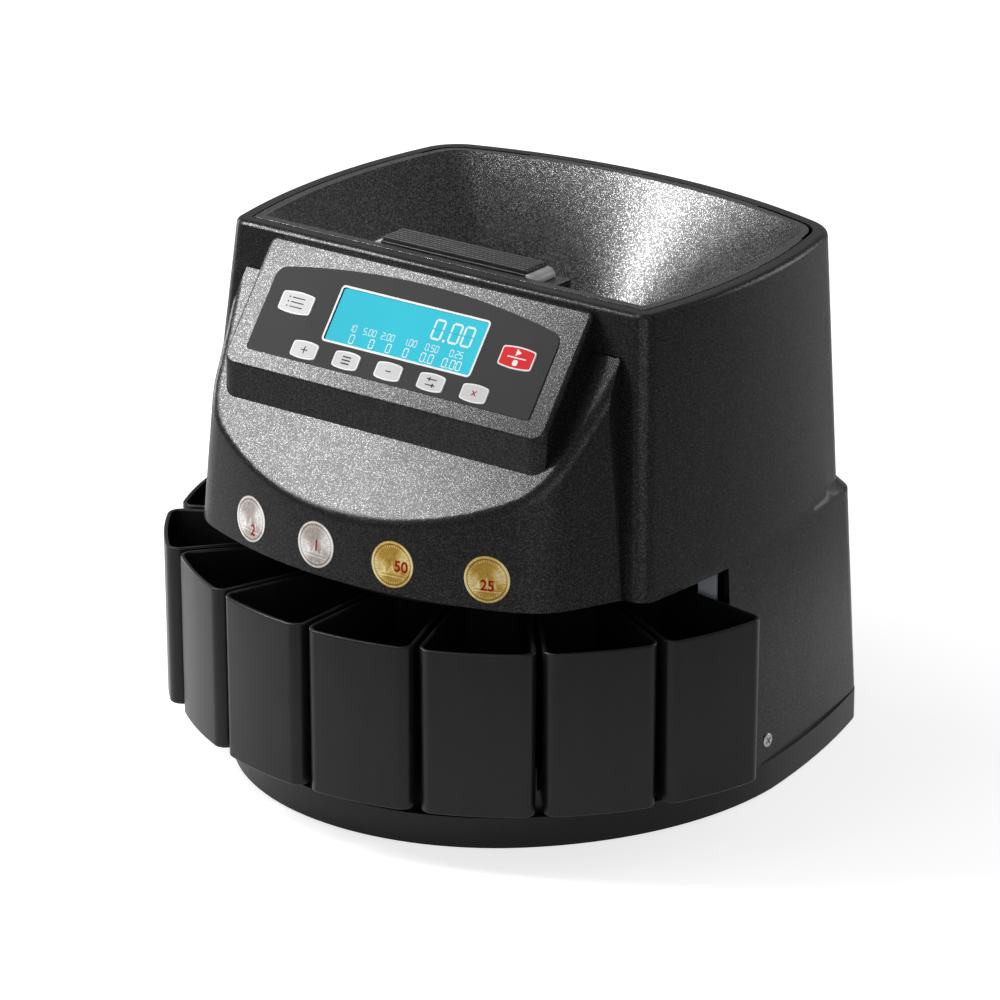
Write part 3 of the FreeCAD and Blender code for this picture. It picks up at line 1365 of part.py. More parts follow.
def coin_labels():
    """Four round labels on the nose."""
    skin = nose_solid(-size.label_thick).cut(nose_solid())
    centre = Vector(0, size.nose_bow - size.nose_reach, size.label_height)
    labels = []
    for angle in (size.label_first, size.label_second, size.label_third, size.label_fourth):
        turn = math.radians(angle)
        outward = Vector(math.sin(turn), -math.cos(turn), 0)
        start = centre + outward * (size.nose_bow - size.nose_corner)
        labels.append(skin.common(Part.makeCylinder(size.label_radius, 2 * size.nose_corner, start, outward)))
    shaped(joined(labels), "coin_labels")


base_pan()
main_housing()
side_screws()
rear_cover()
cover_screws()
feet = []
for side in ("-", ""):
    for x, y in (("foot_front_half", "-foot_front"), ("foot_rear_half", "foot_rear")):
        feet.append(rod("foot_radius", ("0", "foot_height"), f"{side}{x}", y))
node(group(*feet), "rubber_feet")
hopper()
grip_plate()
grip_pad()
panel_housing()
panel_overlay()
display_window()
lcd_module()
panel_board()
key_switches()
panel_keys()
coin_labels()
for number, angle in enumerate(cup_angles(), start=1):
    cup(f"cup_{number}", angle, size.cup_out if number == 2 else 0.0)
drum_frame()
spindle_parts()
drive_gears()
coin_disc()
sorting_track()
drop_guide()
track_cover()
coin_sensors()
power_parts()

# Checks and files

doc.recompute()
for piece in doc.Objects:
    if {"Invalid", "Error"} & set(piece.State):
        raise RuntimeError(f"{piece.Label} failed: {piece.State}")
os.makedirs("parts", exist_ok=True)
for piece in nodes:
    shape = piece.Shape
    if shape.isNull() or not shape.isValid():
        raise RuntimeError(f"{piece.Label} has no valid shape")
    shape.exportStep(f"parts/{piece.Label}.step")
    print(piece.Label, len(shape.Solids), round(shape.Volume))
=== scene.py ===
"""Looks of a tabletop coin sorting machine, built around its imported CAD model.

Each class is one sub-assembly: it copies or adds meshes, dresses them and hangs them on the CAD bodies.
Sizes are in millimetres, in the frame of the CAD model, until a mesh is made in metres.
"""

from __future__ import annotations

import json
import logging
import math
from dataclasses import dataclass, field
from enum import Enum
from typing import Callable, Sequence, Union

import bpy
from mathutils import Matrix, Vector

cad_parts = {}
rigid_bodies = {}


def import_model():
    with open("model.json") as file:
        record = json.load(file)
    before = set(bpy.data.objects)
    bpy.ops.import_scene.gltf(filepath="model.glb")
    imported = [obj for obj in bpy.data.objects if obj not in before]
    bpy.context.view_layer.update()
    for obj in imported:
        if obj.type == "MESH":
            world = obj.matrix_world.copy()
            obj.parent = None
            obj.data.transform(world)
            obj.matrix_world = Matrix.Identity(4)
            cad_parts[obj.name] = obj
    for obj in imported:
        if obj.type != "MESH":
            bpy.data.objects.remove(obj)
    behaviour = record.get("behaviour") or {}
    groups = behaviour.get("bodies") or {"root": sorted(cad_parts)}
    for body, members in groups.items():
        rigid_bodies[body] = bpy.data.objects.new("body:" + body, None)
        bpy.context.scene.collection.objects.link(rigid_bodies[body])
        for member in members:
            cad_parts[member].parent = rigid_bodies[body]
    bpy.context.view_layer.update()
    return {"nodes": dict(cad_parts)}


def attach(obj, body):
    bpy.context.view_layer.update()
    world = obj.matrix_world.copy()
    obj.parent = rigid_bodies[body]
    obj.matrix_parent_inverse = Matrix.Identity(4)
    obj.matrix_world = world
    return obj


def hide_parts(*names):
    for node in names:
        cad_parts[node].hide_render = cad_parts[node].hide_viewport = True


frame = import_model()
LOG = logging.getLogger("coin_sorter")
MM = 0.001
Triple = tuple[float, float, float]
Colour = Triple
Noise = tuple[float, float, Triple]
EVEN: Triple = (1.0, 1.0, 1.0)
WHITE = (1.0, 1.0, 1.0, 1.0)
SPINDLE_Y = 14.55
LAYER_SHARE = 0.6
MERGE_GAP = 0.002
FLAT_ANGLE = 0.4
SHARP_ANGLE = 35.0
SMOOTH_ANGLE = 60.0
DIGIT_SHARE = 0.7
BOLD_SHARE = 0.03


# Node wrappers


class Value:
    """One output of a node tree, with arithmetic that adds Math nodes."""

    def __init__(self, tree: NodeTree, socket: bpy.types.NodeSocket) -> None:
        """Keeps the tree and the socket."""
        self.tree = tree
        self.socket = socket

    def _math(self, operation: str, *terms: Operand) -> Value:
        """The result of a Math node with an operation and its terms in order."""
        return self.tree.node("ShaderNodeMath", {"operation": operation}, dict(enumerate(terms)))

    def __add__(self, other: Operand) -> Value:
        """Sum."""
        return self._math("ADD", self, other)

    __radd__ = __add__

    def __sub__(self, other: Operand) -> Value:
        """Difference."""
        return self._math("SUBTRACT", self, other)

    def __rsub__(self, other: Operand) -> Value:
        """Difference, with this value taken away."""
        return self._math("SUBTRACT", other, self)

    def __mul__(self, other: Operand) -> Value:
        """Product."""
        return self._math("MULTIPLY", self, other)

    __rmul__ = __mul__

    def __truediv__(self, other: Operand) -> Value:
        """Quotient."""
        return self._math("DIVIDE", self, other)

    def __rtruediv__(self, other: Operand) -> Value:
        """Quotient, with this value below."""
        return self._math("DIVIDE", other, self)

    def __abs__(self) -> Value:
        """Size without sign."""
        return self._math("ABSOLUTE", self)

    def sine(self) -> Value:
        """Sine of an angle in radians."""
        return self._math("SINE", self)

    def root(self) -> Value:
        """Square root."""
        return self._math("SQRT", self)

    def arctangent(self, other: Operand) -> Value:
        """Angle in radians of a point this far up and the other far across."""
        return self._math("ARCTAN2", self, other)

    def both(self, other: Operand) -> Value:
        """The smaller of two masks, which is where both hold."""
        return self._math("MINIMUM", self, other)

    def either(self, other: Operand) -> Value:
        """The larger of two masks, which is where one holds."""
        return self._math("MAXIMUM", self, other)

    def ramp(self, low: float, high: float) -> Value:
        """A mask that rises smoothly from 0 at the low limit to 1 at the high one."""
        inputs = {"Value": self, "From Min": low, "From Max": high}
        return self.tree.node("ShaderNodeMapRange", {"interpolation_type": "SMOOTHSTEP"}, inputs)

    def band(self, low: float, high: float, soft: float) -> Value:
        """A mask between two limits, with edges that are soft by a distance to each side."""
        return self.ramp(low - soft, low + soft) - self.ramp(high - soft, high + soft)


Operand = Union[Value, float, Sequence[float]]


class NodeTree:
    """A node tree that is filled from Python expressions."""

    def __init__(self, tree: bpy.types.NodeTree) -> None:
        """Keeps the tree and empties it."""
        self.tree = tree
        self.tree.nodes.clear()

    def node(self, kind: str, settings: dict | None = None, inputs: dict | None = None,
             output: int | str = 0) -> Value:
        """Adds any node.

        Args:
            kind: the node's type name.
            settings: its properties, set before its sockets are filled.
            inputs: values or links by socket name or number.
            output: which of its outputs is wanted.

        Returns:
            The wanted output.
        """
        made = self.tree.nodes.new(kind)
        for name, setting in (settings or {}).items():
            setattr(made, name, setting)
        for name, value in (inputs or {}).items():
            socket = made.inputs[name]
            if isinstance(value, Value):
                self.tree.links.new(value.socket, socket)
            else:
                socket.default_value = value
        return Value(self, made.outputs[output])

    def end(self, kind: str, shader: Value, socket: str) -> None:
        """Adds the tree's output node and links a shader to one of its sockets."""
        made = self.tree.nodes.new(kind)
        self.tree.links.new(shader.socket, made.inputs[socket])

    def rays(self) -> tuple[Value, Value]:
        """Masks of the rays that come from the camera or through glass, and of those off a gloss.

        Returns:
            Both masks.
        """
        camera, glass, gloss = (self.node("ShaderNodeLightPath", output=f"Is {kind} Ray")
                                for kind in ("Camera", "Transmission", "Glossy"))
        return camera.either(glass), gloss


class Surface(NodeTree):
    """A material under construction, patterned on Object coordinates."""

    def __init__(self, name: str) -> None:
        """Starts an empty material.

        Args:
            name: its name.
        """
        self.material = bpy.data.materials.new(name)
        self.material.use_nodes = True
        super().__init__(self.material.node_tree)
        self.place = self.node("ShaderNodeTexCoord", output="Object")

    def noise(self, size: float, detail: float = 2.0, stretch: Triple = EVEN) -> Value:
        """Noise with features of a size.

        Args:
            size: size of a feature in millimetres.
            detail: how many finer layers it has.
            stretch: how much denser it is along each axis.

        Returns:
            A value from 0 to 1.
        """
        place = self.place
        if stretch != EVEN:
            mapped = {"Vector": place, "Scale": stretch}
            place = self.node("ShaderNodeMapping", {"vector_type": "POINT"}, mapped)
        inputs = {"Vector": place, "Scale": 1 / (size * MM), "Detail": detail, "Roughness": LAYER_SHARE}
        return self.node("ShaderNodeTexNoise", {"noise_dimensions": "3D"}, inputs)

    def tint(self, mask: Value, low: Colour | Value, high: Colour | Value) -> Value:
        """A colour between two, by a mask.

        Args:
            mask: 0 for the first, 1 for the second.
            low: the first colour, or a value that holds one.
            high: the second colour, or a value that holds one.

        Returns:
            The colour.
        """
        first = low if isinstance(low, Value) else (*low, 1.0)
        second = high if isinstance(high, Value) else (*high, 1.0)
        inputs = {"Factor": mask, 6: first, 7: second}
        return self.node("ShaderNodeMix", {"data_type": "RGBA"}, inputs, output=2)

    def bump(self, height: Value, strength: float, depth: float) -> Value:
        """The normal of a relief of 0 to 1, by how much of it shows and its depth in millimetres."""
        inputs = {"Height": height, "Strength": strength, "Distance": depth * MM}
        return self.node("ShaderNodeBump", None, inputs)

    def done(self, **sockets: Operand | Colour) -> bpy.types.Material:
        """Closes the material with one principled shader.

        Args:
            sockets: the shader's inputs, with underscores for spaces.

        Returns:
            The material.
        """
        inputs = {}
        for name, value in sockets.items():
            title = name.replace("_", " ").title().replace("Ior", "IOR")
            if isinstance(value, tuple):
                value = (*value, 1.0)
            inputs[title] = value
        shader = self.node("ShaderNodeBsdfPrincipled", None, inputs)
        self.end("ShaderNodeOutputMaterial", shader, "Surface")
        return self.material


# Finishes


@dataclass(frozen=True)
class Finish:
    """A finish by name. Each kind of finish fills its own nodes."""

    name: str

    def material(self) -> bpy.types.Material:
        """The finish's material, made once."""
        known = bpy.data.materials.get(self.name)
        return known if known is not None else self.make()

    def make(self) -> bpy.types.Material:
        """Builds the material."""
        raise NotImplementedError


@dataclass(frozen=True)
class GrainedPlastic(Finish):
    """Moulded plastic with a fine sparkling grain."""

    colour: Colour = (0.006, 0.006, 0.0062)
    sparkle: Colour = (0.085, 0.085, 0.087)
    grain: float = 0.38
    share: float = 0.45
    depth: float = 0.036
    roughness: float = 0.25
    specular: float = 0.26
    skin: float = 0.0
    skin_roughness: float = 0.2
    patch: Noise = (26.0, 3.0, EVEN)
    patch_sway: float = 0.1

    def make(self) -> bpy.types.Material:
        """Builds the material.

        Returns:
            The material.
        """
        surface = Surface(self.name)
        cells = surface.node("ShaderNodeTexVoronoi", {"feature": "F1"}, {
            "Vector": surface.place, "Scale": 1 / (self.grain * MM),
        }, output="Color")
        chance = surface.node("ShaderNodeSeparateColor", None, {"Color": cells})
        bright = chance.ramp(1 - self.share, 1.0)
        grain = surface.noise(self.grain)
        patches = surface.noise(*self.patch)
        return surface.done(
            base_color=surface.tint(bright, self.colour, self.sparkle),
            metallic=bright,
            roughness=self.roughness + self.patch_sway * (patches - 0.5),
            specular_ior_level=self.specular,
            coat_weight=self.skin,
            coat_roughness=self.skin_roughness,
            normal=surface.bump(grain, 1.0, self.depth),
        )


@dataclass(frozen=True)
class Worn(Finish):
    """A finish whose tone drifts slowly, over a fine tooth. Each kind sets its own drift and tooth.

    A drift or tooth is a noise: its size in millimetres, its finer layers and its stretch. The sway is how
    far the roughness follows each of them. The relief is how much of the tooth shows and how deep it is.
    """

    colour: Colour = (0.5, 0.5, 0.5)
    roughness: float = 0.5
    specular: float = 0.5
    metallic: float = 0.0
    drift: Noise = (20.0, 3.0, EVEN)
    tooth: Noise = (0.5, 1.0, EVEN)
    tone: float = 1.0
    between: tuple[float, float] = (0.3, 0.7)
    sway: tuple[float, float] = (0.0, 0.0)
    relief: tuple[float, float] = (0.1, 0.02)

    def make(self) -> bpy.types.Material:
        """Builds the material.

        Returns:
            The material.
        """
        surface = Surface(self.name)
        drift = surface.noise(*self.drift)
        tooth = surface.noise(*self.tooth)
        other = tuple(self.tone * part for part in self.colour)
        slow, fine = self.sway
        return surface.done(
            base_color=surface.tint(drift.ramp(*self.between), self.colour, other),
            metallic=self.metallic,
            roughness=self.roughness + slow * (drift - 0.5) + fine * (tooth - 0.5),
            specular_ior_level=self.specular,
            normal=surface.bump(tooth, *self.relief),
        )


@dataclass(frozen=True)
class SatinPlastic(Worn):
    """Smooth moulded plastic with faint flow marks."""

    drift: Noise = (14.0, 3.0, (1.0, 1.0, 0.35))
    tone: float = 1.35
    sway: tuple[float, float] = (0.1, 0.03)
    relief: tuple[float, float] = (0.12, 0.02)


@dataclass(frozen=True)
class Rubber(Worn):
    """Matte black rubber with a dusty bloom."""

    colour: Colour = (0.012, 0.012, 0.0125)
    drift: Noise = (9.0, 4.0, EVEN)
    tooth: Noise = (0.6, 2.0, EVEN)
    tone: float = 2.2
    between: tuple[float, float] = (0.45, 0.75)
    sway: tuple[float, float] = (0.2, 0.0)
    relief: tuple[float, float] = (0.5, 0.06)


@dataclass(frozen=True)
class BrushedMetal(Worn):
    """Metal with fine lines along one axis and faint stains."""

    colour: Colour = (0.6, 0.6, 0.6)
    roughness: float = 0.35
    metallic: float = 1.0
    drift: Noise = (18.0, 3.0, EVEN)
    tooth: Noise = (0.35, 2.0, (0.05, 1.0, 1.0))
    tone: float = 0.72
    between: tuple[float, float] = (0.3, 0.75)
    sway: tuple[float, float] = (0.1, 0.18)
    relief: tuple[float, float] = (0.25, 0.02)


@dataclass(frozen=True)
class PrintedFilm(Worn):
    """Printed plastic film with a very fine matte tooth."""

    colour: Colour = (0.036, 0.0345, 0.0345)
    roughness: float = 0.62
    specular: float = 0.12
    drift: Noise = (40.0, 2.0, EVEN)
    tooth: Noise = (0.3, 1.0, EVEN)
    tone: float = 1.12
    sway: tuple[float, float] = (0.0, 0.08)


@dataclass(frozen=True)
class Backlight(Finish):
    """A lit display, a touch brighter in the middle of its light guide."""

    colour: Colour = (0.053, 0.6, 0.755)
    strength: float = 1.0
    roughness: float = 0.5
    guide: Noise = (60.0, 1.0, EVEN)
    between: tuple[float, float] = (0.3, 0.7)
    dimmed: float = 0.93
    unlit: float = 0.03

    def make(self) -> bpy.types.Material:
        """Builds the material.

        Returns:
            The material.
        """
        surface = Surface(self.name)
        guide = surface.noise(*self.guide)
        dimmer = tuple(self.dimmed * part for part in self.colour)
        return surface.done(
            base_color=tuple(self.unlit * part for part in self.colour),
            roughness=self.roughness,
            specular_ior_level=0.0,
            emission_color=surface.tint(guide.ramp(*self.between), dimmer, self.colour),
            emission_strength=self.strength,
        )


@dataclass(frozen=True)
class ClearSheet(Finish):
    """A thin clear window with faint wiping marks."""

    colour: Colour = (0.2, 0.5, 0.55)
    alpha: float = 0.012
    roughness: float = 0.12
    sway: float = 0.2
    specular: float = 0.1
    mark: Noise = (7.0, 3.0, (0.3, 1.0, 1.0))

    def make(self) -> bpy.types.Material:
        """Builds the material.

        Returns:
            The material.
        """
        surface = Surface(self.name)
        wiped = surface.noise(*self.mark)
        surface.material.surface_render_method = "BLENDED"
        return surface.done(
            base_color=self.colour,
            roughness=self.roughness + self.sway * wiped,
            specular_ior_level=self.specular,
            alpha=self.alpha + self.alpha * wiped,
        )


@dataclass(frozen=True)
class Lacquer(Finish):
    """Circuit board lacquer over copper tracks."""

    colour: Colour = (0.012, 0.11, 0.035)
    copper: float = 1.9
    rows: float = 90.0
    track: float = 0.03
    track_soft: float = 0.2
    roughness: float = 0.32
    sway: float = 0.15
    stain: float = 5.0
    relief: tuple[float, float] = (0.3, 0.04)

    def make(self) -> bpy.types.Material:
        """Builds the material.

        Returns:
            The material.
        """
        surface = Surface(self.name)
        tracks = surface.node("ShaderNodeTexBrick", {"offset": 0.5}, {
            "Vector": surface.place, "Scale": self.rows, "Mortar Size": self.track,
            "Mortar Smooth": self.track_soft,
        }, output="Fac")
        copper = tuple(self.copper * part for part in self.colour)
        return surface.done(
            base_color=surface.tint(tracks, self.colour, copper),
            roughness=self.roughness + self.sway * surface.noise(self.stain),
            normal=surface.bump(tracks, *self.relief),
        )


class Alloy(Enum):
    """What a pictured coin is struck from: its dark, middle and light tones."""

    SILVER = ((0.17, 0.13, 0.11), (0.52, 0.46, 0.42), (0.96, 0.95, 0.93))
    GOLD = ((0.2, 0.1, 0.015), (0.62, 0.37, 0.05), (0.97, 0.84, 0.42))


@dataclass(frozen=True)
class CoinPrint(Finish):
    """A printed picture of a plain coin: rim, beads, a tower with wings on steps, and worn highlights.

    The picture is drawn in coin radii from the coin's middle. A band has a lower limit, an upper limit and a
    soft edge. The tones are the plain ground and how far the sheen, the wear, what stands out and the groove
    change it.
    """

    alloy: Alloy = Alloy.SILVER
    centre: Triple = (0.0, 0.0, 0.0)
    across: Triple = (1.0, 0.0, 0.0)
    upward: Triple = (0.0, 0.0, 1.0)
    radius: float = 11.6
    beads: int = 44
    rim: Triple = (0.9, 0.985, 0.012)
    groove: Triple = (0.855, 0.9, 0.012)
    bead: Triple = (0.735, 0.825, 0.02)
    ground: float = -0.38
    soft: float = 0.02
    tower_half: float = 0.3
    tower_taper: float = 0.42
    tower_top: float = 0.62
    tower_soft: float = 0.03
    wing_tall: float = 0.16
    wing_slope: float = 1.6
    wing_lean: float = 0.5
    wing_place: float = 0.36
    wing_top: float = 0.05
    step_half: float = 0.62
    step_foot: float = -0.62
    step_rate: float = 46.0
    wear: Noise = (1.3, 4.0, EVEN)
    wear_relief: float = 0.3
    relief: tuple[float, float] = (0.35, 0.1)
    sheen_turn: float = 0.9
    tones: tuple[float, ...] = (0.34, 0.42, 0.7, 0.34, 0.3)
    shade: tuple[float, float] = (0.0, 0.55)
    shine: tuple[float, float] = (0.45, 1.0)
    roughness: float = 0.32
    sway: float = 0.2
    metallic: float = 0.15
    specular: float = 0.4

    def along(self, surface: Surface, axis: Triple) -> Value:
        """How far a point lies from the coin's middle along an axis, in coin radii.

        Args:
            surface: the material under construction.
            axis: the axis, of length 1.

        Returns:
            The distance.
        """
        from_middle = surface.node("ShaderNodeVectorMath", {"operation": "SUBTRACT"},
                                   {0: surface.place, 1: self.centre})
        reach = surface.node("ShaderNodeVectorMath", {"operation": "DOT_PRODUCT"},
                             {0: from_middle, 1: axis}, output="Value")
        return reach / (self.radius * MM)

    def tower(self, aside: Value, v: Value) -> Value:
        """The tower with its wings, on its steps.

        Args:
            aside: how far a point lies to either side of the coin's middle.
            v: how far it lies above it.

        Returns:
            A mask of what stands out.
        """
        rise = (v - self.ground).either(0.0)
        tower = (self.tower_half - self.tower_taper * rise.root() - aside).ramp(-self.tower_soft, self.soft)
        tower = tower.both(v.band(self.ground, self.tower_top, self.tower_soft))
        wings = self.wing_tall - self.wing_slope * abs(aside - self.wing_place) - self.wing_lean * rise
        wings = wings.ramp(-self.soft, self.soft).both(v.band(self.ground, self.wing_top, self.soft))
        treads = (v * self.step_rate).sine().ramp(-0.2, 0.4)
        steps = treads.both(v.band(self.step_foot, self.ground, self.soft))
        steps = steps.both((self.step_half - aside).ramp(-self.soft, self.soft))
        return tower.either(wings).either(steps)

    def make(self) -> bpy.types.Material:
        """Builds the material.

        Returns:
            The material.
        """
        surface = Surface(self.name)
        u = self.along(surface, self.across)
        v = self.along(surface, self.upward)
        reach = (u * u + v * v).root()
        angle = v.arctangent(u)
        beads = (angle * self.beads).sine().ramp(0.0, 0.5).both(reach.band(*self.bead))
        relief = self.tower(abs(u), v).either(beads).either(reach.band(*self.rim))
        groove = reach.band(*self.groove)
        worn = surface.noise(*self.wear)
        sheen = (angle * 2.0 + self.sheen_turn).sine().ramp(-0.4, 1.0) * reach.ramp(0.05, 0.5)
        plain, shiny, spotted, raised, sunk = self.tones
        light = plain + shiny * sheen + spotted * (worn - 0.5) + raised * relief - sunk * groove
        dark, middle, pale = self.alloy.value
        colour = surface.tint(light.ramp(*self.shade), dark, middle)
        return surface.done(
            base_color=surface.tint(light.ramp(*self.shine), colour, pale),
            roughness=self.roughness + self.sway * worn,
            metallic=self.metallic,
            specular_ior_level=self.specular,
            normal=surface.bump(relief + self.wear_relief * worn, *self.relief),
        )


BODY = GrainedPlastic("grained body plastic")
BOWL = GrainedPlastic("grained hopper plastic", sparkle=(0.235, 0.235, 0.239), depth=0.045, roughness=0.22,
                      specular=0.34, skin=0.3)
CUP = SatinPlastic("satin cup plastic", (0.009, 0.009, 0.0093), 0.315, 0.3)
BASE = SatinPlastic("satin base plastic", (0.008, 0.008, 0.0083), 0.315, 0.3)
PALE = SatinPlastic("pale guide plastic", (0.46, 0.5, 0.56), 0.415)
GRIP = SatinPlastic("grey grip plate", (0.42, 0.42, 0.43), 0.295)
RIB = Rubber("ribbed pad rubber", (0.01, 0.01, 0.0103), 0.34)
FOOT = Rubber("foot rubber")
FILM = PrintedFilm("dark panel film")
KEY = PrintedFilm("pale key", (0.52, 0.52, 0.52), 0.55, 0.2)
KEY_RIM = PrintedFilm("white key rim", (0.72, 0.72, 0.72), 0.5, 0.2)
RED_KEY = PrintedFilm("red key", (0.61, 0.012, 0.016), 0.5, 0.1)
DARK_INK = PrintedFilm("dark ink", (0.035, 0.035, 0.038), 0.6, 0.1)
WHITE_INK = PrintedFilm("white ink", (0.76, 0.76, 0.76), 0.6, 0.1)
RED_INK = PrintedFilm("red ink", (0.34, 0.004, 0.006), 0.6, 0.1)
LCD = Backlight("lit display")
DIGIT = Backlight("lit digits", (0.86, 0.93, 0.94))
GHOST = Backlight("resting digits", (0.05, 0.54, 0.69))
WINDOW = ClearSheet("clear window")
STEEL = BrushedMetal("plain steel")
SCREW = BrushedMetal("plated screw", (0.62, 0.61, 0.59), 0.29, tooth=(0.35, 2.0, EVEN))
MOTOR = BrushedMetal("motor can", (0.3, 0.3, 0.31), 0.45)
BRASS = BrushedMetal("plated brass", (0.72, 0.55, 0.26), 0.3)
SHEET = BrushedMetal("plain sheet metal", (0.58, 0.59, 0.6), 0.43)
GEAR = SatinPlastic("gear plastic", (0.72, 0.71, 0.66), 0.435)
DISC = SatinPlastic("black disc plastic", (0.014, 0.014, 0.0145), 0.355)
CHIP = SatinPlastic("black part plastic", (0.02, 0.02, 0.021), 0.415)
SOCKET = SatinPlastic("black socket plastic", (0.01, 0.01, 0.0104), 0.275)
BOARD = Lacquer("board lacquer")


# Modelling


class Bench:
    """Modelling steps in Blender's own operators, on one object at a time."""

    @staticmethod
    def only(piece: bpy.types.Object) -> None:
        """Selects one object alone and makes it active.

        Args:
            piece: the object.
        """
        bpy.ops.object.select_all(action="DESELECT")
        piece.select_set(True)
        bpy.context.view_layer.objects.active = piece

    @staticmethod
    def edit(piece: bpy.types.Object, every: bool = True) -> None:
        """Opens an object for editing.

        Args:
            piece: the object.
            every: whether all of its mesh is selected, or none.
        """
        Bench.only(piece)
        bpy.ops.object.mode_set(mode="EDIT")
        bpy.ops.mesh.select_mode(type="FACE")
        bpy.ops.mesh.select_all(action="SELECT" if every else "DESELECT")

    @staticmethod
    def close() -> None:
        """Leaves edit mode."""
        bpy.ops.object.mode_set(mode="OBJECT")

    @staticmethod
    def named(name: str) -> bpy.types.Object:
        """Names the object that an operator has just made, and its mesh.

        Args:
            name: the name.

        Returns:
            The object.
        """
        piece = bpy.context.active_object
        piece.name = name
        piece.data.name = name
        return piece

    @staticmethod
    def start(name: str, add: Callable[..., set], **settings: object) -> bpy.types.Object:
        """Adds an object that alone is selected.

        Args:
            name: its name.
            add: the operator that adds it.
            settings: the operator's settings.

        Returns:
            The object.
        """
        bpy.ops.object.select_all(action="DESELECT")
        add(**settings)
        return Bench.named(name)

    @staticmethod
    def apply(piece: bpy.types.Object, kind: str, **settings: object) -> None:
        """Adds a modifier to a piece and applies it.

        Args:
            piece: the piece.
            kind: the modifier's type.
            settings: its properties.
        """
        Bench.only(piece)
        added = piece.modifiers.new(kind, kind)
        for name, value in settings.items():
            setattr(added, name, value)
        bpy.ops.object.modifier_apply(modifier=added.name)

    @staticmethod
    def copy(node: str, name: str) -> bpy.types.Object:
        """A copy of a CAD node with its loose triangles merged into plain faces.

        Args:
            node: the CAD node.
            name: the copy's name.

        Returns:
            The copy.
        """
        Bench.only(frame["nodes"][node])
        bpy.ops.object.duplicate()
        piece = Bench.named(name)
        bpy.ops.object.parent_clear(type="CLEAR_KEEP_TRANSFORM")
        bpy.ops.mesh.customdata_custom_splitnormals_clear()
        Bench.edit(piece)
        bpy.ops.mesh.remove_doubles(threshold=MERGE_GAP * MM)
        bpy.ops.mesh.dissolve_limited(angle_limit=math.radians(FLAT_ANGLE))
        Bench.close()
        return piece

    @staticmethod
    def soften(piece: bpy.types.Object, width: float, segments: int = 2) -> None:
        """Rounds the sharp edges of a piece.

        Args:
            piece: the piece.
            width: width of the rounding in millimetres.
            segments: faces across the rounding.
        """
        sharp = math.radians(SHARP_ANGLE)
        Bench.only(piece)
        bpy.ops.object.shade_smooth_by_angle(angle=sharp)
        Bench.apply(piece, "BEVEL", width=width * MM, segments=segments, limit_method="ANGLE",
                    angle_limit=sharp)
        bpy.ops.object.shade_smooth_by_angle(angle=math.radians(SMOOTH_ANGLE))
        Bench.apply(piece, "WEIGHTED_NORMAL", keep_sharp=True)

    @staticmethod
    def pick(piece: bpy.types.Object, test: Callable[[bpy.types.MeshPolygon], bool]) -> None:
        """Opens a piece for editing with only some of its faces selected.

        Args:
            piece: the piece.
            test: says whether a face is wanted.
        """
        Bench.edit(piece, every=False)
        Bench.close()
        for face in piece.data.polygons:
            face.select = test(face)
        bpy.ops.object.mode_set(mode="EDIT")

    @staticmethod
    def second(piece: bpy.types.Object) -> None:
        """Gives the selected faces of an open piece its second finish, and leaves edit mode.

        Args:
            piece: the piece.
        """
        piece.active_material_index = 1
        bpy.ops.object.material_slot_assign()
        Bench.close()

    @staticmethod
    def plate(name: str, length: float, width: float, corner: float = 0.0,
              steps: int = 1) -> bpy.types.Object:
        """A flat plate in the XY plane with cut or rounded corners.

        Args:
            name: its name.
            length: its length along X in millimetres.
            width: its width along Y in millimetres.
            corner: how far its corners are taken back.
            steps: edges across each corner.

        Returns:
            The plate.
        """
        piece = Bench.start(name, bpy.ops.mesh.primitive_plane_add, size=MM)
        piece.scale = (length, width, 1.0)
        bpy.ops.object.transform_apply(location=False, rotation=False, scale=True)
        if corner > 0:
            Bench.edit(piece)
            bpy.ops.mesh.bevel(offset=corner * MM, segments=steps, affect="VERTICES")
            Bench.close()
        return piece

    @staticmethod
    def triangle(name: str, reach: float, corner: float) -> bpy.types.Object:
        """A flat triangle in the XY plane that points along X, with cut corners.

        Args:
            name: its name.
            reach: distance of its corners from its middle in millimetres.
            corner: how far its corners are taken back.

        Returns:
            The triangle.
        """
        piece = Bench.start(name, bpy.ops.mesh.primitive_circle_add, vertices=3, radius=reach * MM,
                            fill_type="NGON", rotation=(0.0, 0.0, -math.pi / 2))
        bpy.ops.object.transform_apply(location=False, rotation=True, scale=False)
        Bench.edit(piece)
        bpy.ops.mesh.bevel(offset=corner * MM, segments=2, affect="VERTICES")
        Bench.close()
        return piece

    @staticmethod
    def hoop(name: str, radius: float, width: float, points: int = 28) -> bpy.types.Object:
        """A flat ring in the XY plane.

        Args:
            name: its name.
            radius: its outer radius in millimetres.
            width: its width.
            points: corners round it.

        Returns:
            The ring.
        """
        piece = Bench.start(name, bpy.ops.mesh.primitive_circle_add, vertices=points, radius=radius * MM,
                            fill_type="NGON")
        Bench.edit(piece)
        bpy.ops.mesh.inset(thickness=width * MM)
        bpy.ops.mesh.delete(type="FACE")
        Bench.close()
        return piece

    @staticmethod
    def word(name: str, text: str, height: float) -> bpy.types.Object:
        """A flat number in the XY plane, centred.

        Args:
            name: its name.
            text: the number.
            height: the height of its digits in millimetres.

        Returns:
            The number as a mesh.
        """
        piece = Bench.start(name, bpy.ops.object.text_add)
        piece.data.body = text
        piece.data.align_x = "CENTER"
        piece.data.align_y = "CENTER"
        piece.data.size = height * MM / DIGIT_SHARE
        piece.data.offset = BOLD_SHARE * height * MM
        bpy.ops.object.convert(target="MESH")
        return bpy.context.active_object

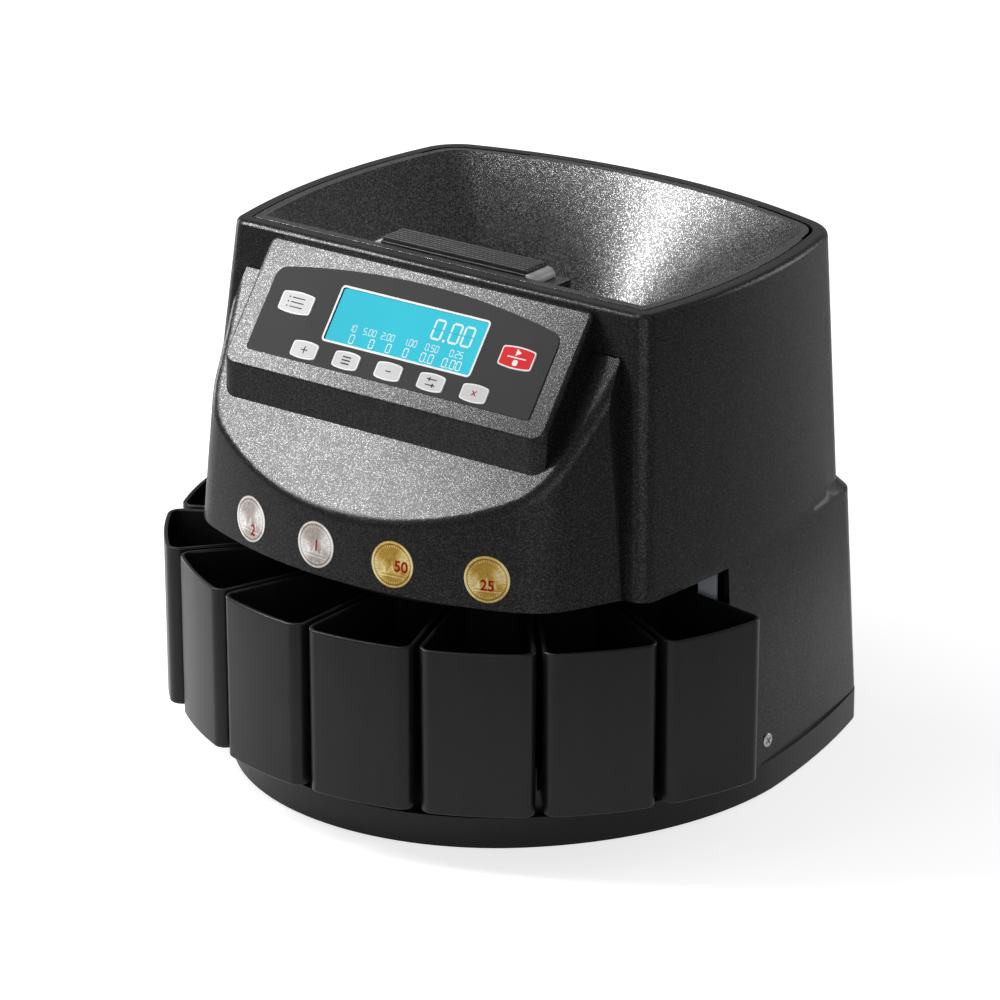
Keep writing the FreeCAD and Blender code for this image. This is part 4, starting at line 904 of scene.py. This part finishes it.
    @staticmethod
    def place(piece: bpy.types.Object, where: Matrix) -> bpy.types.Object:
        """Moves a piece and applies its place to its mesh.

        Args:
            piece: the piece.
            where: its place in metres.

        Returns:
            The piece.
        """
        Bench.only(piece)
        piece.matrix_world = where
        bpy.ops.object.transform_apply(location=True, rotation=True, scale=True)
        return piece

    @staticmethod
    def thicken(piece: bpy.types.Object, thick: float) -> None:
        """Gives a flat piece a thickness in millimetres on the side that it faces."""
        Bench.apply(piece, "SOLIDIFY", thickness=thick * MM, offset=1.0)

    @staticmethod
    def join(pieces: Sequence[bpy.types.Object], name: str) -> bpy.types.Object:
        """Joins pieces into one.

        Args:
            pieces: the pieces.
            name: the name of the whole.

        Returns:
            The whole.
        """
        Bench.only(pieces[0])
        for piece in pieces[1:]:
            piece.select_set(True)
        bpy.ops.object.join()
        return Bench.named(name)

    @staticmethod
    def corners(piece: bpy.types.Object) -> list[Vector]:
        """The corners of a piece's box."""
        return [Vector(corner) for corner in piece.bound_box]

    @staticmethod
    def middle(piece: bpy.types.Object) -> Vector:
        """The middle of a piece's box."""
        corners = Bench.corners(piece)
        return sum(corners, Vector()) / len(corners)

    @staticmethod
    def dress(piece: bpy.types.Object, *finishes: Finish) -> None:
        """Gives a piece its finishes, one to each material slot.

        Args:
            piece: the piece.
            finishes: the finishes, in the order of the slots.
        """
        piece.data.materials.clear()
        for finish in finishes:
            piece.data.materials.append(finish.material())


def hang(piece: bpy.types.Object, body: str, slot: str, *nodes: str) -> None:
    """Hangs a piece on a CAD body.

    Args:
        piece: the piece.
        body: the CAD body that it moves with.
        slot: the record's material slot; not used.
        nodes: CAD nodes that it stands for.
    """
    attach(piece, body)
    if nodes:
        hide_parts(*nodes)
    LOG.info("%s rides on %s, %d faces", piece.name, body, len(piece.data.polygons))


def refine(node: str, name: str, edge: float, finish: Finish, body: str, slot: str,
           segments: int = 2) -> None:
    """Puts a copy with rounded edges and a finish in the place of a CAD node.

    Args:
        node: the CAD node.
        name: the copy's name.
        edge: width of the rounding in millimetres.
        finish: its finish.
        body: the CAD body that it moves with.
        slot: the record's material slot.
        segments: faces across the rounding.
    """
    piece = Bench.copy(node, name)
    Bench.soften(piece, edge, segments)
    Bench.dress(piece, finish)
    hang(piece, body, slot, node)


def paint(finish: Finish, *nodes: str) -> None:
    """Gives CAD nodes that keep their shape a finish.

    Args:
        finish: the finish.
        nodes: the nodes.
    """
    for node in nodes:
        Bench.dress(frame["nodes"][node], finish)
        LOG.info("%s painted with %s", node, finish.name)


# Sub-assemblies


@dataclass
class Casing:
    """Housing, base, rear cover, feet and screws."""

    edge: float = 0.5
    head_edge: float = 0.35
    slot_long: float = 4.4
    slot_wide: float = 0.9
    slot_deep: float = 0.9
    slot_corner: float = 0.3
    slot_turn: float = 0.6

    def build(self) -> None:
        """Builds and dresses the casing."""
        for node, finish, slot in (
            ("main_housing", BODY, "textured_black"),
            ("base_pan", BASE, "satin_black"),
            ("rear_cover", BODY, "textured_black"),
        ):
            refine(node, f"{node}_shell", self.edge, finish, "machine", slot)
        paint(FOOT, "rubber_feet")
        self.screws("side_screws", Vector((1, 0, 0)))
        self.screws("cover_screws", Vector((0, 1, 0)))

    def screws(self, node: str, axis: Vector) -> None:
        """Cross-slotted screws in place of plain heads.

        Args:
            node: the CAD node with the screws.
            axis: the direction of their shanks.
        """
        piece = Bench.copy(node, f"{node}_cross")
        Bench.only(piece)
        bpy.ops.mesh.separate(type="LOOSE")
        heads = list(bpy.context.selected_objects)
        for head in heads:
            Bench.soften(head, self.head_edge)
            self.cross(head, axis)
        whole = Bench.join(heads, f"{node}_cross")
        Bench.dress(whole, SCREW)
        hang(whole, "machine", "plain_steel", node)

    def cross(self, head: bpy.types.Object, axis: Vector) -> None:
        """Cuts a cross into the outer face of one screw.

        Args:
            head: the screw.
            axis: the direction of its shank.
        """
        middle = Bench.middle(head)
        outward = axis if middle.dot(axis) > 0 else -axis
        top = max(corner.dot(outward) for corner in Bench.corners(head))
        face = middle + outward * (top - middle.dot(outward))
        turn = outward.to_track_quat("Z", "Y").to_matrix().to_4x4()
        blades = []
        for index in range(2):
            blade = Bench.plate("blade", self.slot_long, self.slot_wide, self.slot_corner)
            Bench.edit(blade)
            rise = (0.0, 0.0, 2 * self.slot_deep * MM)
            bpy.ops.mesh.extrude_region_move(TRANSFORM_OT_translate={"value": rise})
            bpy.ops.mesh.select_all(action="SELECT")
            bpy.ops.mesh.normals_make_consistent(inside=False)
            Bench.close()
            spin = Matrix.Rotation(index * math.pi / 2 + self.slot_turn, 4, "Z")
            sink = Matrix.Translation((0.0, 0.0, -self.slot_deep * MM))
            blades.append(Bench.place(blade, Matrix.Translation(face) @ turn @ spin @ sink))
        for blade in blades:
            Bench.apply(head, "BOOLEAN", operation="DIFFERENCE", object=blade)
            bpy.data.objects.remove(blade)


@dataclass
class Hopper:
    """The swing-up bowl and its sliding grip."""

    edge: float = 0.5
    pad_edge: float = 0.22
    pale_from: float = 44.6

    def build(self) -> None:
        """Builds and dresses the hopper and the grip."""
        refine("hopper", "hopper_bowl", self.edge, BOWL, "hopper", "hopper_black")
        refine("grip_pad", "grip_ribs", self.pad_edge, RIB, "grip", "black_rubber")
        self.slide()

    def slide(self) -> None:
        """The grip's plate, black under the pad and pale at its two rolled ends."""
        piece = Bench.copy("grip_plate", "grip_slide")
        for side in (-1, 1):
            Bench.edit(piece)
            bpy.ops.mesh.bisect(plane_co=(side * self.pale_from * MM, 0.0, 0.0), plane_no=(1.0, 0.0, 0.0))
            Bench.close()
        Bench.soften(piece, self.pad_edge)
        Bench.dress(piece, RIB, GRIP)
        Bench.pick(piece, lambda face: abs(face.center.x) > self.pale_from * MM)
        Bench.second(piece)
        hang(piece, "grip", "grip_grey", "grip_plate")


@dataclass
class Cups:
    """The pull-out coin cups."""

    count: int = 8
    edge: float = 0.8
    segments: int = 3

    def build(self) -> None:
        """Builds and dresses the cups."""
        for number in range(1, self.count + 1):
            node = f"cup_{number}"
            refine(node, f"{node}_rounded", self.edge, CUP, node, "satin_black", self.segments)


class Segment(Enum):
    """The bars of a seven-bar digit: place across, place up and whether it stands upright."""

    TOP = (0.5, 1.0, False)
    UPPER_RIGHT = (1.0, 0.75, True)
    LOWER_RIGHT = (1.0, 0.25, True)
    BOTTOM = (0.5, 0.0, False)
    LOWER_LEFT = (0.0, 0.25, True)
    UPPER_LEFT = (0.0, 0.75, True)
    MIDDLE = (0.5, 0.5, False)


TOP, UP_R, LOW_R, FOOT_BAR, LOW_L, UP_L, MID = Segment
LIT = {
    "0": (TOP, UP_R, LOW_R, FOOT_BAR, LOW_L, UP_L),
    "1": (UP_R, LOW_R),
    "2": (TOP, UP_R, MID, LOW_L, FOOT_BAR),
    "5": (TOP, UP_L, MID, LOW_R, FOOT_BAR),
}


@dataclass(frozen=True)
class Stroke:
    """One stroke of an icon, in millimetres on a key's top."""

    u: float
    v: float
    length: float
    angle: float = 0.0
    width: float = 0.55


class Icon(Enum):
    """The plain signs on the keys."""

    REPORT = tuple(Stroke(0.6, v, 8.0) for v in (2.4, 0.0, -2.4)) + tuple(
        Stroke(-5.0, v, 0.8, 0.0, 0.8) for v in (2.4, 0.0, -2.4))
    START = (Stroke(0.0, 0.0, 11.0, 0.0, 0.6), Stroke(0.0, -2.6, 2.9, 0.0, 2.9))
    PLUS = (Stroke(0.0, 0.0, 4.0), Stroke(0.0, 0.0, 4.0, 90.0))
    BATCH = tuple(Stroke(0.0, v, 5.0, 0.0, 0.7) for v in (1.7, 0.0, -1.7))
    MINUS = (Stroke(0.0, 0.0, 3.4),)
    SET = (
        Stroke(0.0, 1.5, 6.0),
        Stroke(-1.4, 1.5, 2.0, 90.0, 0.8),
        Stroke(0.0, -1.5, 6.0),
        Stroke(1.4, -1.5, 2.0, 90.0, 0.8),
    )
    CLEAR = (Stroke(0.0, 0.0, 3.6, 45.0), Stroke(0.0, 0.0, 3.6, -45.0))


@dataclass(frozen=True)
class Row:
    """One row of the display: the foot and size of its digits, and each number with its place across."""

    foot: float
    wide: float
    tall: float
    numbers: tuple[tuple[str, float], ...]


@dataclass
class Panel:
    """The sloped panel: film, display with its digits, and keys with their signs."""

    reach: float = 112.9
    foot: float = 213.6
    tilt: float = 52.4
    box_edge: float = 0.4
    film: float = 0.5
    proud: float = 0.7
    ink: float = 0.06
    display_half: float = 45.0
    display_low: float = 22.5
    display_high: float = 50.7
    border: float = 0.9
    border_lap: float = 0.15
    border_corner: float = 2.2
    border_steps: int = 5
    digit_drop: float = 0.54
    digit_step: float = 1.42
    dot_step: float = 0.5
    dot_size: float = 1.25
    dot_corner: float = 0.2
    bar_gap: float = 0.35
    bar_corner: float = 0.42
    large_digit: float = 4.0
    large_bar: float = 0.2
    small_bar: float = 0.62 / 3.0
    least_bar: float = 0.26
    rows: tuple[Row, ...] = (
        Row(36.4, 5.4, 9.8, (("0.00", 26.4),)),
        Row(29.9, 1.75, 3.3, (("10", -31.0), ("5.00", -20.4), ("2.00", -9.2), ("1.00", 4.6), ("0.50", 18.0),
                              ("0.25", 32.9))),
        Row(23.9, 2.5, 4.4, (("0", -29.2), ("0", -17.0), ("0", -6.4), ("0", 4.2), ("0.0", 17.2),
                             ("0.00", 32.3))),
    )
    key_rim: float = 0.75
    key_edge: float = 0.18
    top_gap: float = 0.05
    top_facing: float = 0.99
    stroke_corner: float = 0.2
    arrow: float = 2.1
    arrow_corner: float = 0.25
    arrow_place: tuple[float, float] = (-0.3, 2.7)
    small_row: float = 14.6
    pitch: float = 26.2
    large_row: float = 36.7
    large_place: float = 68.0
    where: Matrix = field(init=False)

    def __post_init__(self) -> None:
        """Works out the panel's plane."""
        foot = Vector((0.0, SPINDLE_Y - self.reach, self.foot)) * MM
        self.where = Matrix.Translation(foot) @ Matrix.Rotation(math.radians(self.tilt), 4, "X")

    def on(self, u: float, v: float, height: float, angle: float = 0.0) -> Matrix:
        """A place right of the panel's middle, up its slope and above its face, turned by an angle."""
        spot = Matrix.Translation(Vector((u, v, height)) * MM)
        return self.where @ spot @ Matrix.Rotation(math.radians(angle), 4, "Z")

    def build(self) -> None:
        """Builds and dresses the panel."""
        refine("panel_housing", "panel_box", self.box_edge, BODY, "machine", "textured_black")
        for finish, node in (
            (FILM, "panel_overlay"),
            (LCD, "lcd_module"),
            (WINDOW, "display_window"),
            (BOARD, "panel_board"),
            (CHIP, "key_switches"),
        ):
            paint(finish, node)
        self.frame_line()
        self.digits()
        for node, icon, place in (
            ("key_report", Icon.REPORT, (-self.large_place, self.large_row)),
            ("key_start", Icon.START, (self.large_place, self.large_row)),
            ("key_plus", Icon.PLUS, (-2 * self.pitch, self.small_row)),
            ("key_batch", Icon.BATCH, (-self.pitch, self.small_row)),
            ("key_minus", Icon.MINUS, (0.0, self.small_row)),
            ("key_set", Icon.SET, (self.pitch, self.small_row)),
            ("key_clear", Icon.CLEAR, (2 * self.pitch, self.small_row)),
        ):
            self.key(node, icon)
            self.icon(node, icon, place)

    def frame_line(self) -> None:
        """The printed white line round the display."""
        wide = 2 * (self.display_half + self.border)
        tall = self.display_high - self.display_low + 2 * self.border
        line = Bench.plate("display_line", wide, tall, self.border_corner, self.border_steps)
        Bench.edit(line)
        bpy.ops.mesh.inset(thickness=(self.border + self.border_lap) * MM)
        bpy.ops.mesh.delete(type="FACE")
        Bench.close()
        Bench.thicken(line, self.ink)
        Bench.place(line, self.on(0.0, (self.display_low + self.display_high) / 2, self.film))
        Bench.dress(line, WHITE_INK)
        hang(line, "machine", "overlay_film")

    def number(self, text: str, u: float, v: float, wide: float, tall: float,
               lit: bool = True) -> list[bpy.types.Object]:
        """The bars of a number, or its bars that rest.

        Args:
            text: the number.
            u: the middle of the number across the panel.
            v: the foot of its digits up the slope.
            wide: width of a digit.
            tall: height of a digit.
            lit: whether its lit bars are wanted.

        Returns:
            The bars, flat on the display.
        """
        step = self.digit_step * wide
        dot_step = self.dot_step * wide
        span = sum(dot_step if sign == "." else step for sign in text) - (step - wide)
        start = u - span / 2
        small = max(self.small_bar * wide, self.least_bar)
        bar = small if wide < self.large_digit else self.large_bar * wide
        bars = []
        for sign in text:
            if sign == ".":
                if lit:
                    size = self.dot_size * bar
                    dot = Bench.plate("dot", size, size, self.dot_corner * bar)
                    middle = start - (step - wide) / 2 + dot_step / 2
                    bars.append(Bench.place(dot, self.on(middle, v, -self.digit_drop)))
                start += dot_step
                continue
            for segment in Segment:
                if (segment in LIT[sign]) != lit:
                    continue
                across, upward, stands = segment.value
                reach = (tall / 2 if stands else wide) - self.bar_gap * bar
                piece = Bench.plate("bar", reach, bar, self.bar_corner * bar)
                turn = 90.0 if stands else 0.0
                spot = self.on(start + across * wide, v + upward * tall, -self.digit_drop, turn)
                bars.append(Bench.place(piece, spot))
            start += step
        return bars

    def digits(self) -> None:
        """The display's numbers: a total, a row of values and a row of counts."""
        numbers = [(text, u, row.foot, row.wide, row.tall) for row in self.rows for text, u in row.numbers]
        lit = Bench.join([bar for number in numbers for bar in self.number(*number)], "display_digits")
        resting = Bench.join(self.number(*numbers[0], lit=False), "display_resting")
        for piece, finish in ((lit, DIGIT), (resting, GHOST)):
            Bench.dress(piece, finish)
            hang(piece, "machine", "display_cyan")

    def key(self, node: str, icon: Icon) -> None:
        """A key with a pale rim round its top.

        Args:
            node: the CAD node and body of the key.
            icon: the sign on the key.
        """
        piece = Bench.copy(node, f"{node}_cap")
        upward = self.where.to_3x3() @ Vector((0, 0, 1))
        top = max(vertex.co.dot(upward) for vertex in piece.data.vertices)

        def on_top(face: bpy.types.MeshPolygon) -> bool:
            """Whether a face is the key's top."""
            near = face.center.dot(upward) > top - self.top_gap * MM
            return near and face.normal.dot(upward) > self.top_facing

        Bench.dress(piece, KEY_RIM, RED_KEY if icon is Icon.START else KEY)
        Bench.pick(piece, on_top)
        bpy.ops.mesh.dissolve_faces()
        bpy.ops.mesh.inset(thickness=self.key_rim * MM)
        Bench.second(piece)
        Bench.soften(piece, self.key_edge)
        hang(piece, node, "key_red" if icon is Icon.START else "key_grey", node)

    def icon(self, node: str, icon: Icon, place: tuple[float, float]) -> None:
        """The sign on a key.

        Args:
            node: the CAD body of the key.
            icon: the sign.
            place: the key's middle on the panel.
        """
        height = self.film + self.proud
        pieces = []
        for stroke in icon.value:
            bar = Bench.plate("stroke", stroke.length, stroke.width, self.stroke_corner * stroke.width)
            spot = self.on(place[0] + stroke.u, place[1] + stroke.v, height, stroke.angle)
            pieces.append(Bench.place(bar, spot))
        if icon is Icon.START:
            arrow = Bench.triangle("arrow", self.arrow, self.arrow_corner)
            spot = self.on(place[0] + self.arrow_place[0], place[1] + self.arrow_place[1], height)
            pieces.append(Bench.place(arrow, spot))
        sign = Bench.join(pieces, f"{node}_sign")
        Bench.thicken(sign, self.ink)
        inks = {Icon.START: WHITE_INK, Icon.CLEAR: RED_INK}
        Bench.dress(sign, inks.get(icon, DARK_INK))
        hang(sign, node, "overlay_film")


@dataclass(frozen=True)
class Label:
    """One printed coin: its number, its alloy and where the number stands on it."""

    number: str
    alloy: Alloy
    angle: float
    u: float
    v: float
    tall: float


@dataclass
class CoinLabels:
    """The printed coins on the nose."""

    lean: float = 5.0
    radius: float = 11.6
    edge: float = 0.12
    float_off: float = 1.5
    ink_gap: float = 0.05
    labels: tuple[Label, ...] = (
        Label("2", Alloy.SILVER, -14.8, 2.6, -5.2, 5.4),
        Label("1", Alloy.SILVER, -3.3, 0.6, -0.6, 5.4),
        Label("50", Alloy.GOLD, 7.8, 5.0, -0.6, 5.4),
        Label("25", Alloy.GOLD, 19.8, 0.3, -3.2, 5.2),
    )

    def build(self) -> None:
        """Builds and dresses the labels and their numbers."""
        sheet = Bench.copy("coin_labels", "coin_prints")
        Bench.only(sheet)
        bpy.ops.mesh.separate(type="LOOSE")
        discs = sorted(bpy.context.selected_objects, key=lambda disc: disc.bound_box[0][0])
        for number, (disc, label) in enumerate(zip(discs, self.labels), start=1):
            across, upward, _ = self.axes(label.angle)
            centre = Bench.middle(disc)
            disc.name = f"coin_print_{number}"
            disc.data.name = disc.name
            Bench.soften(disc, self.edge)
            Bench.dress(disc, CoinPrint(f"coin print {number}", label.alloy, tuple(centre), tuple(across),
                                        tuple(upward), self.radius))
            hang(disc, "machine", "label_silver", *(["coin_labels"] if number == 1 else []))
            self.figure(disc, label, centre, f"coin_number_{number}")

    def axes(self, angle: float) -> tuple[Vector, Vector, Vector]:
        """The directions at a label.

        Args:
            angle: the label's angle round the nose in degrees.

        Returns:
            Across, up along the wall, and outwards.
        """
        turn = math.radians(angle)
        lean = math.radians(self.lean)
        across = Vector((math.cos(turn), math.sin(turn), 0.0))
        level = Vector((math.sin(turn), -math.cos(turn), 0.0))
        outward = level * math.cos(lean) + Vector((0, 0, 1)) * math.sin(lean)
        return across, outward.cross(across), outward

    def figure(self, disc: bpy.types.Object, label: Label, centre: Vector, name: str) -> None:
        """The red number on a label.

        Args:
            disc: the label.
            label: what is printed on it.
            centre: its middle in metres.
            name: the number's name.
        """
        across, upward, outward = self.axes(label.angle)
        spot = centre + (across * label.u + upward * label.v + outward * self.float_off) * MM
        turn = Matrix((across, upward, outward)).transposed().to_4x4()
        figure = Bench.place(Bench.word(name, label.number, label.tall), Matrix.Translation(spot) @ turn)
        Bench.apply(figure, "SHRINKWRAP", target=disc, offset=self.ink_gap * MM,
                    wrap_method="NEAREST_SURFACEPOINT", wrap_mode="ABOVE_SURFACE")
        Bench.dress(figure, RED_INK)
        hang(figure, "machine", "label_silver")


@dataclass
class PowerEntry:
    """Inlet, switch and rocker in the back."""

    place: float = 18.0
    height: float = 56.0
    face: float = 138.0
    drop: float = 5.0
    wall: float = 2.0
    tilt: float = 7.0
    edge: float = 0.35
    pin_edge: float = 0.3
    sign_step: float = 5.0
    bar: tuple[float, float] = (0.8, 3.4)
    ring: tuple[float, float] = (1.8, 0.7)
    ink: float = 0.06

    def build(self) -> None:
        """Builds and dresses the power entry."""
        for node, body in (
            ("power_inlet", "machine"),
            ("power_switch", "machine"),
            ("power_rocker", "rocker"),
        ):
            refine(node, f"{node}_moulding", self.edge, SOCKET, body, "inlet_black")
        refine("inlet_blades", "inlet_pins", self.pin_edge, BRASS, "machine", "blade_brass")
        pivot = Vector((-self.place, SPINDLE_Y + self.face - self.drop, self.height)) * MM
        tip = Matrix.Translation(pivot) @ Matrix.Rotation(math.radians(self.tilt), 4, "X")
        upright = Matrix.Rotation(-math.pi / 2, 4, "X")
        placed = []
        for sign, step in (
            (Bench.plate("on_bar", *self.bar, self.bar[0] / 4), self.sign_step),
            (Bench.hoop("off_ring", *self.ring), -self.sign_step),
        ):
            spot = Matrix.Translation(Vector((0, self.drop + self.wall, step)) * MM)
            placed.append(Bench.place(sign, tip @ spot @ upright))
        signs = Bench.join(placed, "rocker_signs")
        Bench.thicken(signs, self.ink)
        Bench.dress(signs, WHITE_INK)
        hang(signs, "rocker", "inlet_black")


@dataclass
class Works:
    """The coin mechanism, the drive and the boards inside."""

    edge: float = 0.3
    wing_place: float = 16.5
    wing_thick: float = 2.2
    wing_from: float = 97.0

    def build(self) -> None:
        """Dresses the inner pieces, and rounds those that show through the hopper and the cup bay."""
        for node, name, body in (
            ("coin_disc", "disc_plate", "disc"),
            ("disc_cone", "disc_centre", "disc"),
            ("track_cover", "track_roof", "machine"),
            ("coin_throat", "throat_tube", "machine"),
        ):
            refine(node, name, self.edge, DISC, body, "disc_black")
        self.chutes()
        paint(PALE, "drop_vanes")
        paint(DISC, "bearing_block", "track_wall")
        paint(CUP, "drum_frame")
        paint(STEEL, "slot_plates", "track_plates", "deck_plate", "drive_shaft", "spindle_bearings")
        paint(MOTOR, "gear_motor")
        paint(GEAR, "drive_gear", "motor_pinion")
        paint(CHIP, "coin_sensors", "board_parts")
        paint(BOARD, "main_board")
        paint(SHEET, "power_supply")

    def chutes(self) -> None:
        """The chute walls, dark, with the pale plates that close the cup bay."""
        piece = Bench.copy("drop_walls", "chute_walls")
        Bench.soften(piece, self.edge)
        Bench.dress(piece, CHIP, PALE)
        back = (SPINDLE_Y - self.wing_place) * MM

        def on_wing(face: bpy.types.MeshPolygon) -> bool:
            """Whether a face belongs to a pale plate."""
            near = abs(face.center.y - back) < self.wing_thick * MM
            return near and abs(face.center.x) > self.wing_from * MM

        Bench.pick(piece, on_wing)
        Bench.second(piece)
        hang(piece, "machine", "pale_grey", "drop_walls")


@dataclass(frozen=True)
class Softbox:
    """One lamp: where it stands from the object, its size in metres and its power in watts."""

    name: str
    toward: Triple
    distance: float
    size: tuple[float, float]
    power: float


@dataclass
class Studio:
    """Camera, lamps, floor and surroundings."""

    azimuth: float = 37.116
    elevation: float = 20.961
    look: Triple = (-23.0, 30.0, 117.0)
    distance: float = 2692.0
    lens: float = 189.3
    sensor: float = 36.0
    far: float = 50.0
    aim: Triple = (-20.0, -20.0, 190.0)
    floor_size: float = 24.0
    floor_tone: float = 0.6
    floor_glow: float = 0.74
    floor_fade: tuple[float, float] = (0.2, 1.1)
    floor_gloss: tuple[float, float] = (0.38, 0.08)
    gloss_fade: tuple[float, float] = (0.3, 0.5)
    world_light: float = 0.22
    world_gloss: float = 0.08
    lamps: tuple[Softbox, ...] = (
        Softbox("key_light", (-0.63, -0.54, 0.625), 0.68, (0.12, 0.44), 4.0),
        Softbox("side_light", (-0.74, -0.42, 0.56), 1.3, (0.4, 0.7), 2.2),
        Softbox("rim_light", (0.5, 0.85, 0.22), 1.5, (0.5, 0.8), 3.6),
        Softbox("edge_light", (-0.98, 0.1, 0.08), 1.4, (0.3, 0.8), 4.0),
        Softbox("fill_light", (0.62, -0.77, 0.14), 1.6, (1.3, 1.0), 3.4),
        Softbox("top_light", (-0.25, -0.2, 0.95), 1.7, (0.6, 0.6), 4.5),
    )

    def build(self) -> None:
        """Sets up the studio."""
        self.camera()
        for lamp in self.lamps:
            self.lamp(lamp)
        self.floor()
        self.world()
        bpy.context.scene.view_settings.view_transform = "Standard"

    def camera(self) -> None:
        """The camera at the photograph's angle."""
        turn = math.radians(self.azimuth)
        rise = math.radians(self.elevation)
        back = Vector((math.sin(turn) * math.cos(rise), -math.cos(turn) * math.cos(rise), math.sin(rise)))
        camera = Bench.start("Camera", bpy.ops.object.camera_add, rotation=(math.pi / 2 - rise, 0.0, turn),
                             location=(Vector(self.look) + back * self.distance) * MM)
        camera.data.lens = self.lens
        camera.data.sensor_width = self.sensor
        camera.data.sensor_fit = "HORIZONTAL"
        camera.data.clip_end = self.far
        bpy.context.scene.camera = camera

    def lamp(self, lamp: Softbox) -> None:
        """One soft lamp that faces the object.

        Args:
            lamp: its place, size and power.
        """
        toward = Vector(lamp.toward).normalized()
        spot = Vector(self.aim) * MM + toward * lamp.distance
        turn = toward.to_track_quat("Z", "Y").to_euler()
        made = Bench.start(lamp.name, bpy.ops.object.light_add, type="AREA", location=spot, rotation=turn)
        made.data.shape = "RECTANGLE"
        made.data.size, made.data.size_y = lamp.size
        made.data.energy = lamp.power

    def floor(self) -> None:
        """A plain pale floor that turns white away from the object."""
        floor = Bench.start("floor", bpy.ops.mesh.primitive_plane_add, size=self.floor_size)
        surface = Surface("pale floor")
        reach = surface.node("ShaderNodeVectorMath", {"operation": "LENGTH"}, {0: surface.place},
                             output="Value")
        seen, mirrored = surface.rays()
        near, far = self.floor_gloss
        shown = (self.floor_glow + (1 - self.floor_glow) * reach.ramp(*self.floor_fade)) * seen
        glow = shown.either((near - (near - far) * reach.ramp(*self.gloss_fade)) * mirrored)
        cloth = surface.node("ShaderNodeBsdfDiffuse", None, {"Color": (*[self.floor_tone] * 3, 1.0)})
        light = surface.node("ShaderNodeEmission", None, {"Color": WHITE, "Strength": glow})
        both = surface.node("ShaderNodeAddShader", None, {0: cloth, 1: light})
        surface.end("ShaderNodeOutputMaterial", both, "Surface")
        floor.data.materials.append(surface.material)

    def world(self) -> None:
        """White surroundings for the camera, dim ones for the object."""
        world = bpy.data.worlds.new("studio")
        bpy.context.scene.world = world
        world.use_nodes = True
        tree = NodeTree(world.node_tree)
        seen, mirrored = tree.rays()
        strength = seen.either(self.world_light + self.world_gloss * mirrored)
        light = tree.node("ShaderNodeBackground", None, {"Color": WHITE, "Strength": strength})
        tree.end("ShaderNodeOutputWorld", light, "Surface")


def main() -> None:
    """Builds every sub-assembly in order, then the studio."""
    logging.basicConfig(level=logging.INFO, format="%(name)s: %(message)s")
    for assembly in (Casing(), Hopper(), Cups(), Panel(), CoinLabels(), PowerEntry(), Works(), Studio()):
        LOG.info("building %s", type(assembly).__name__)
        assembly.build()


if __name__ == "__main__":
    main()
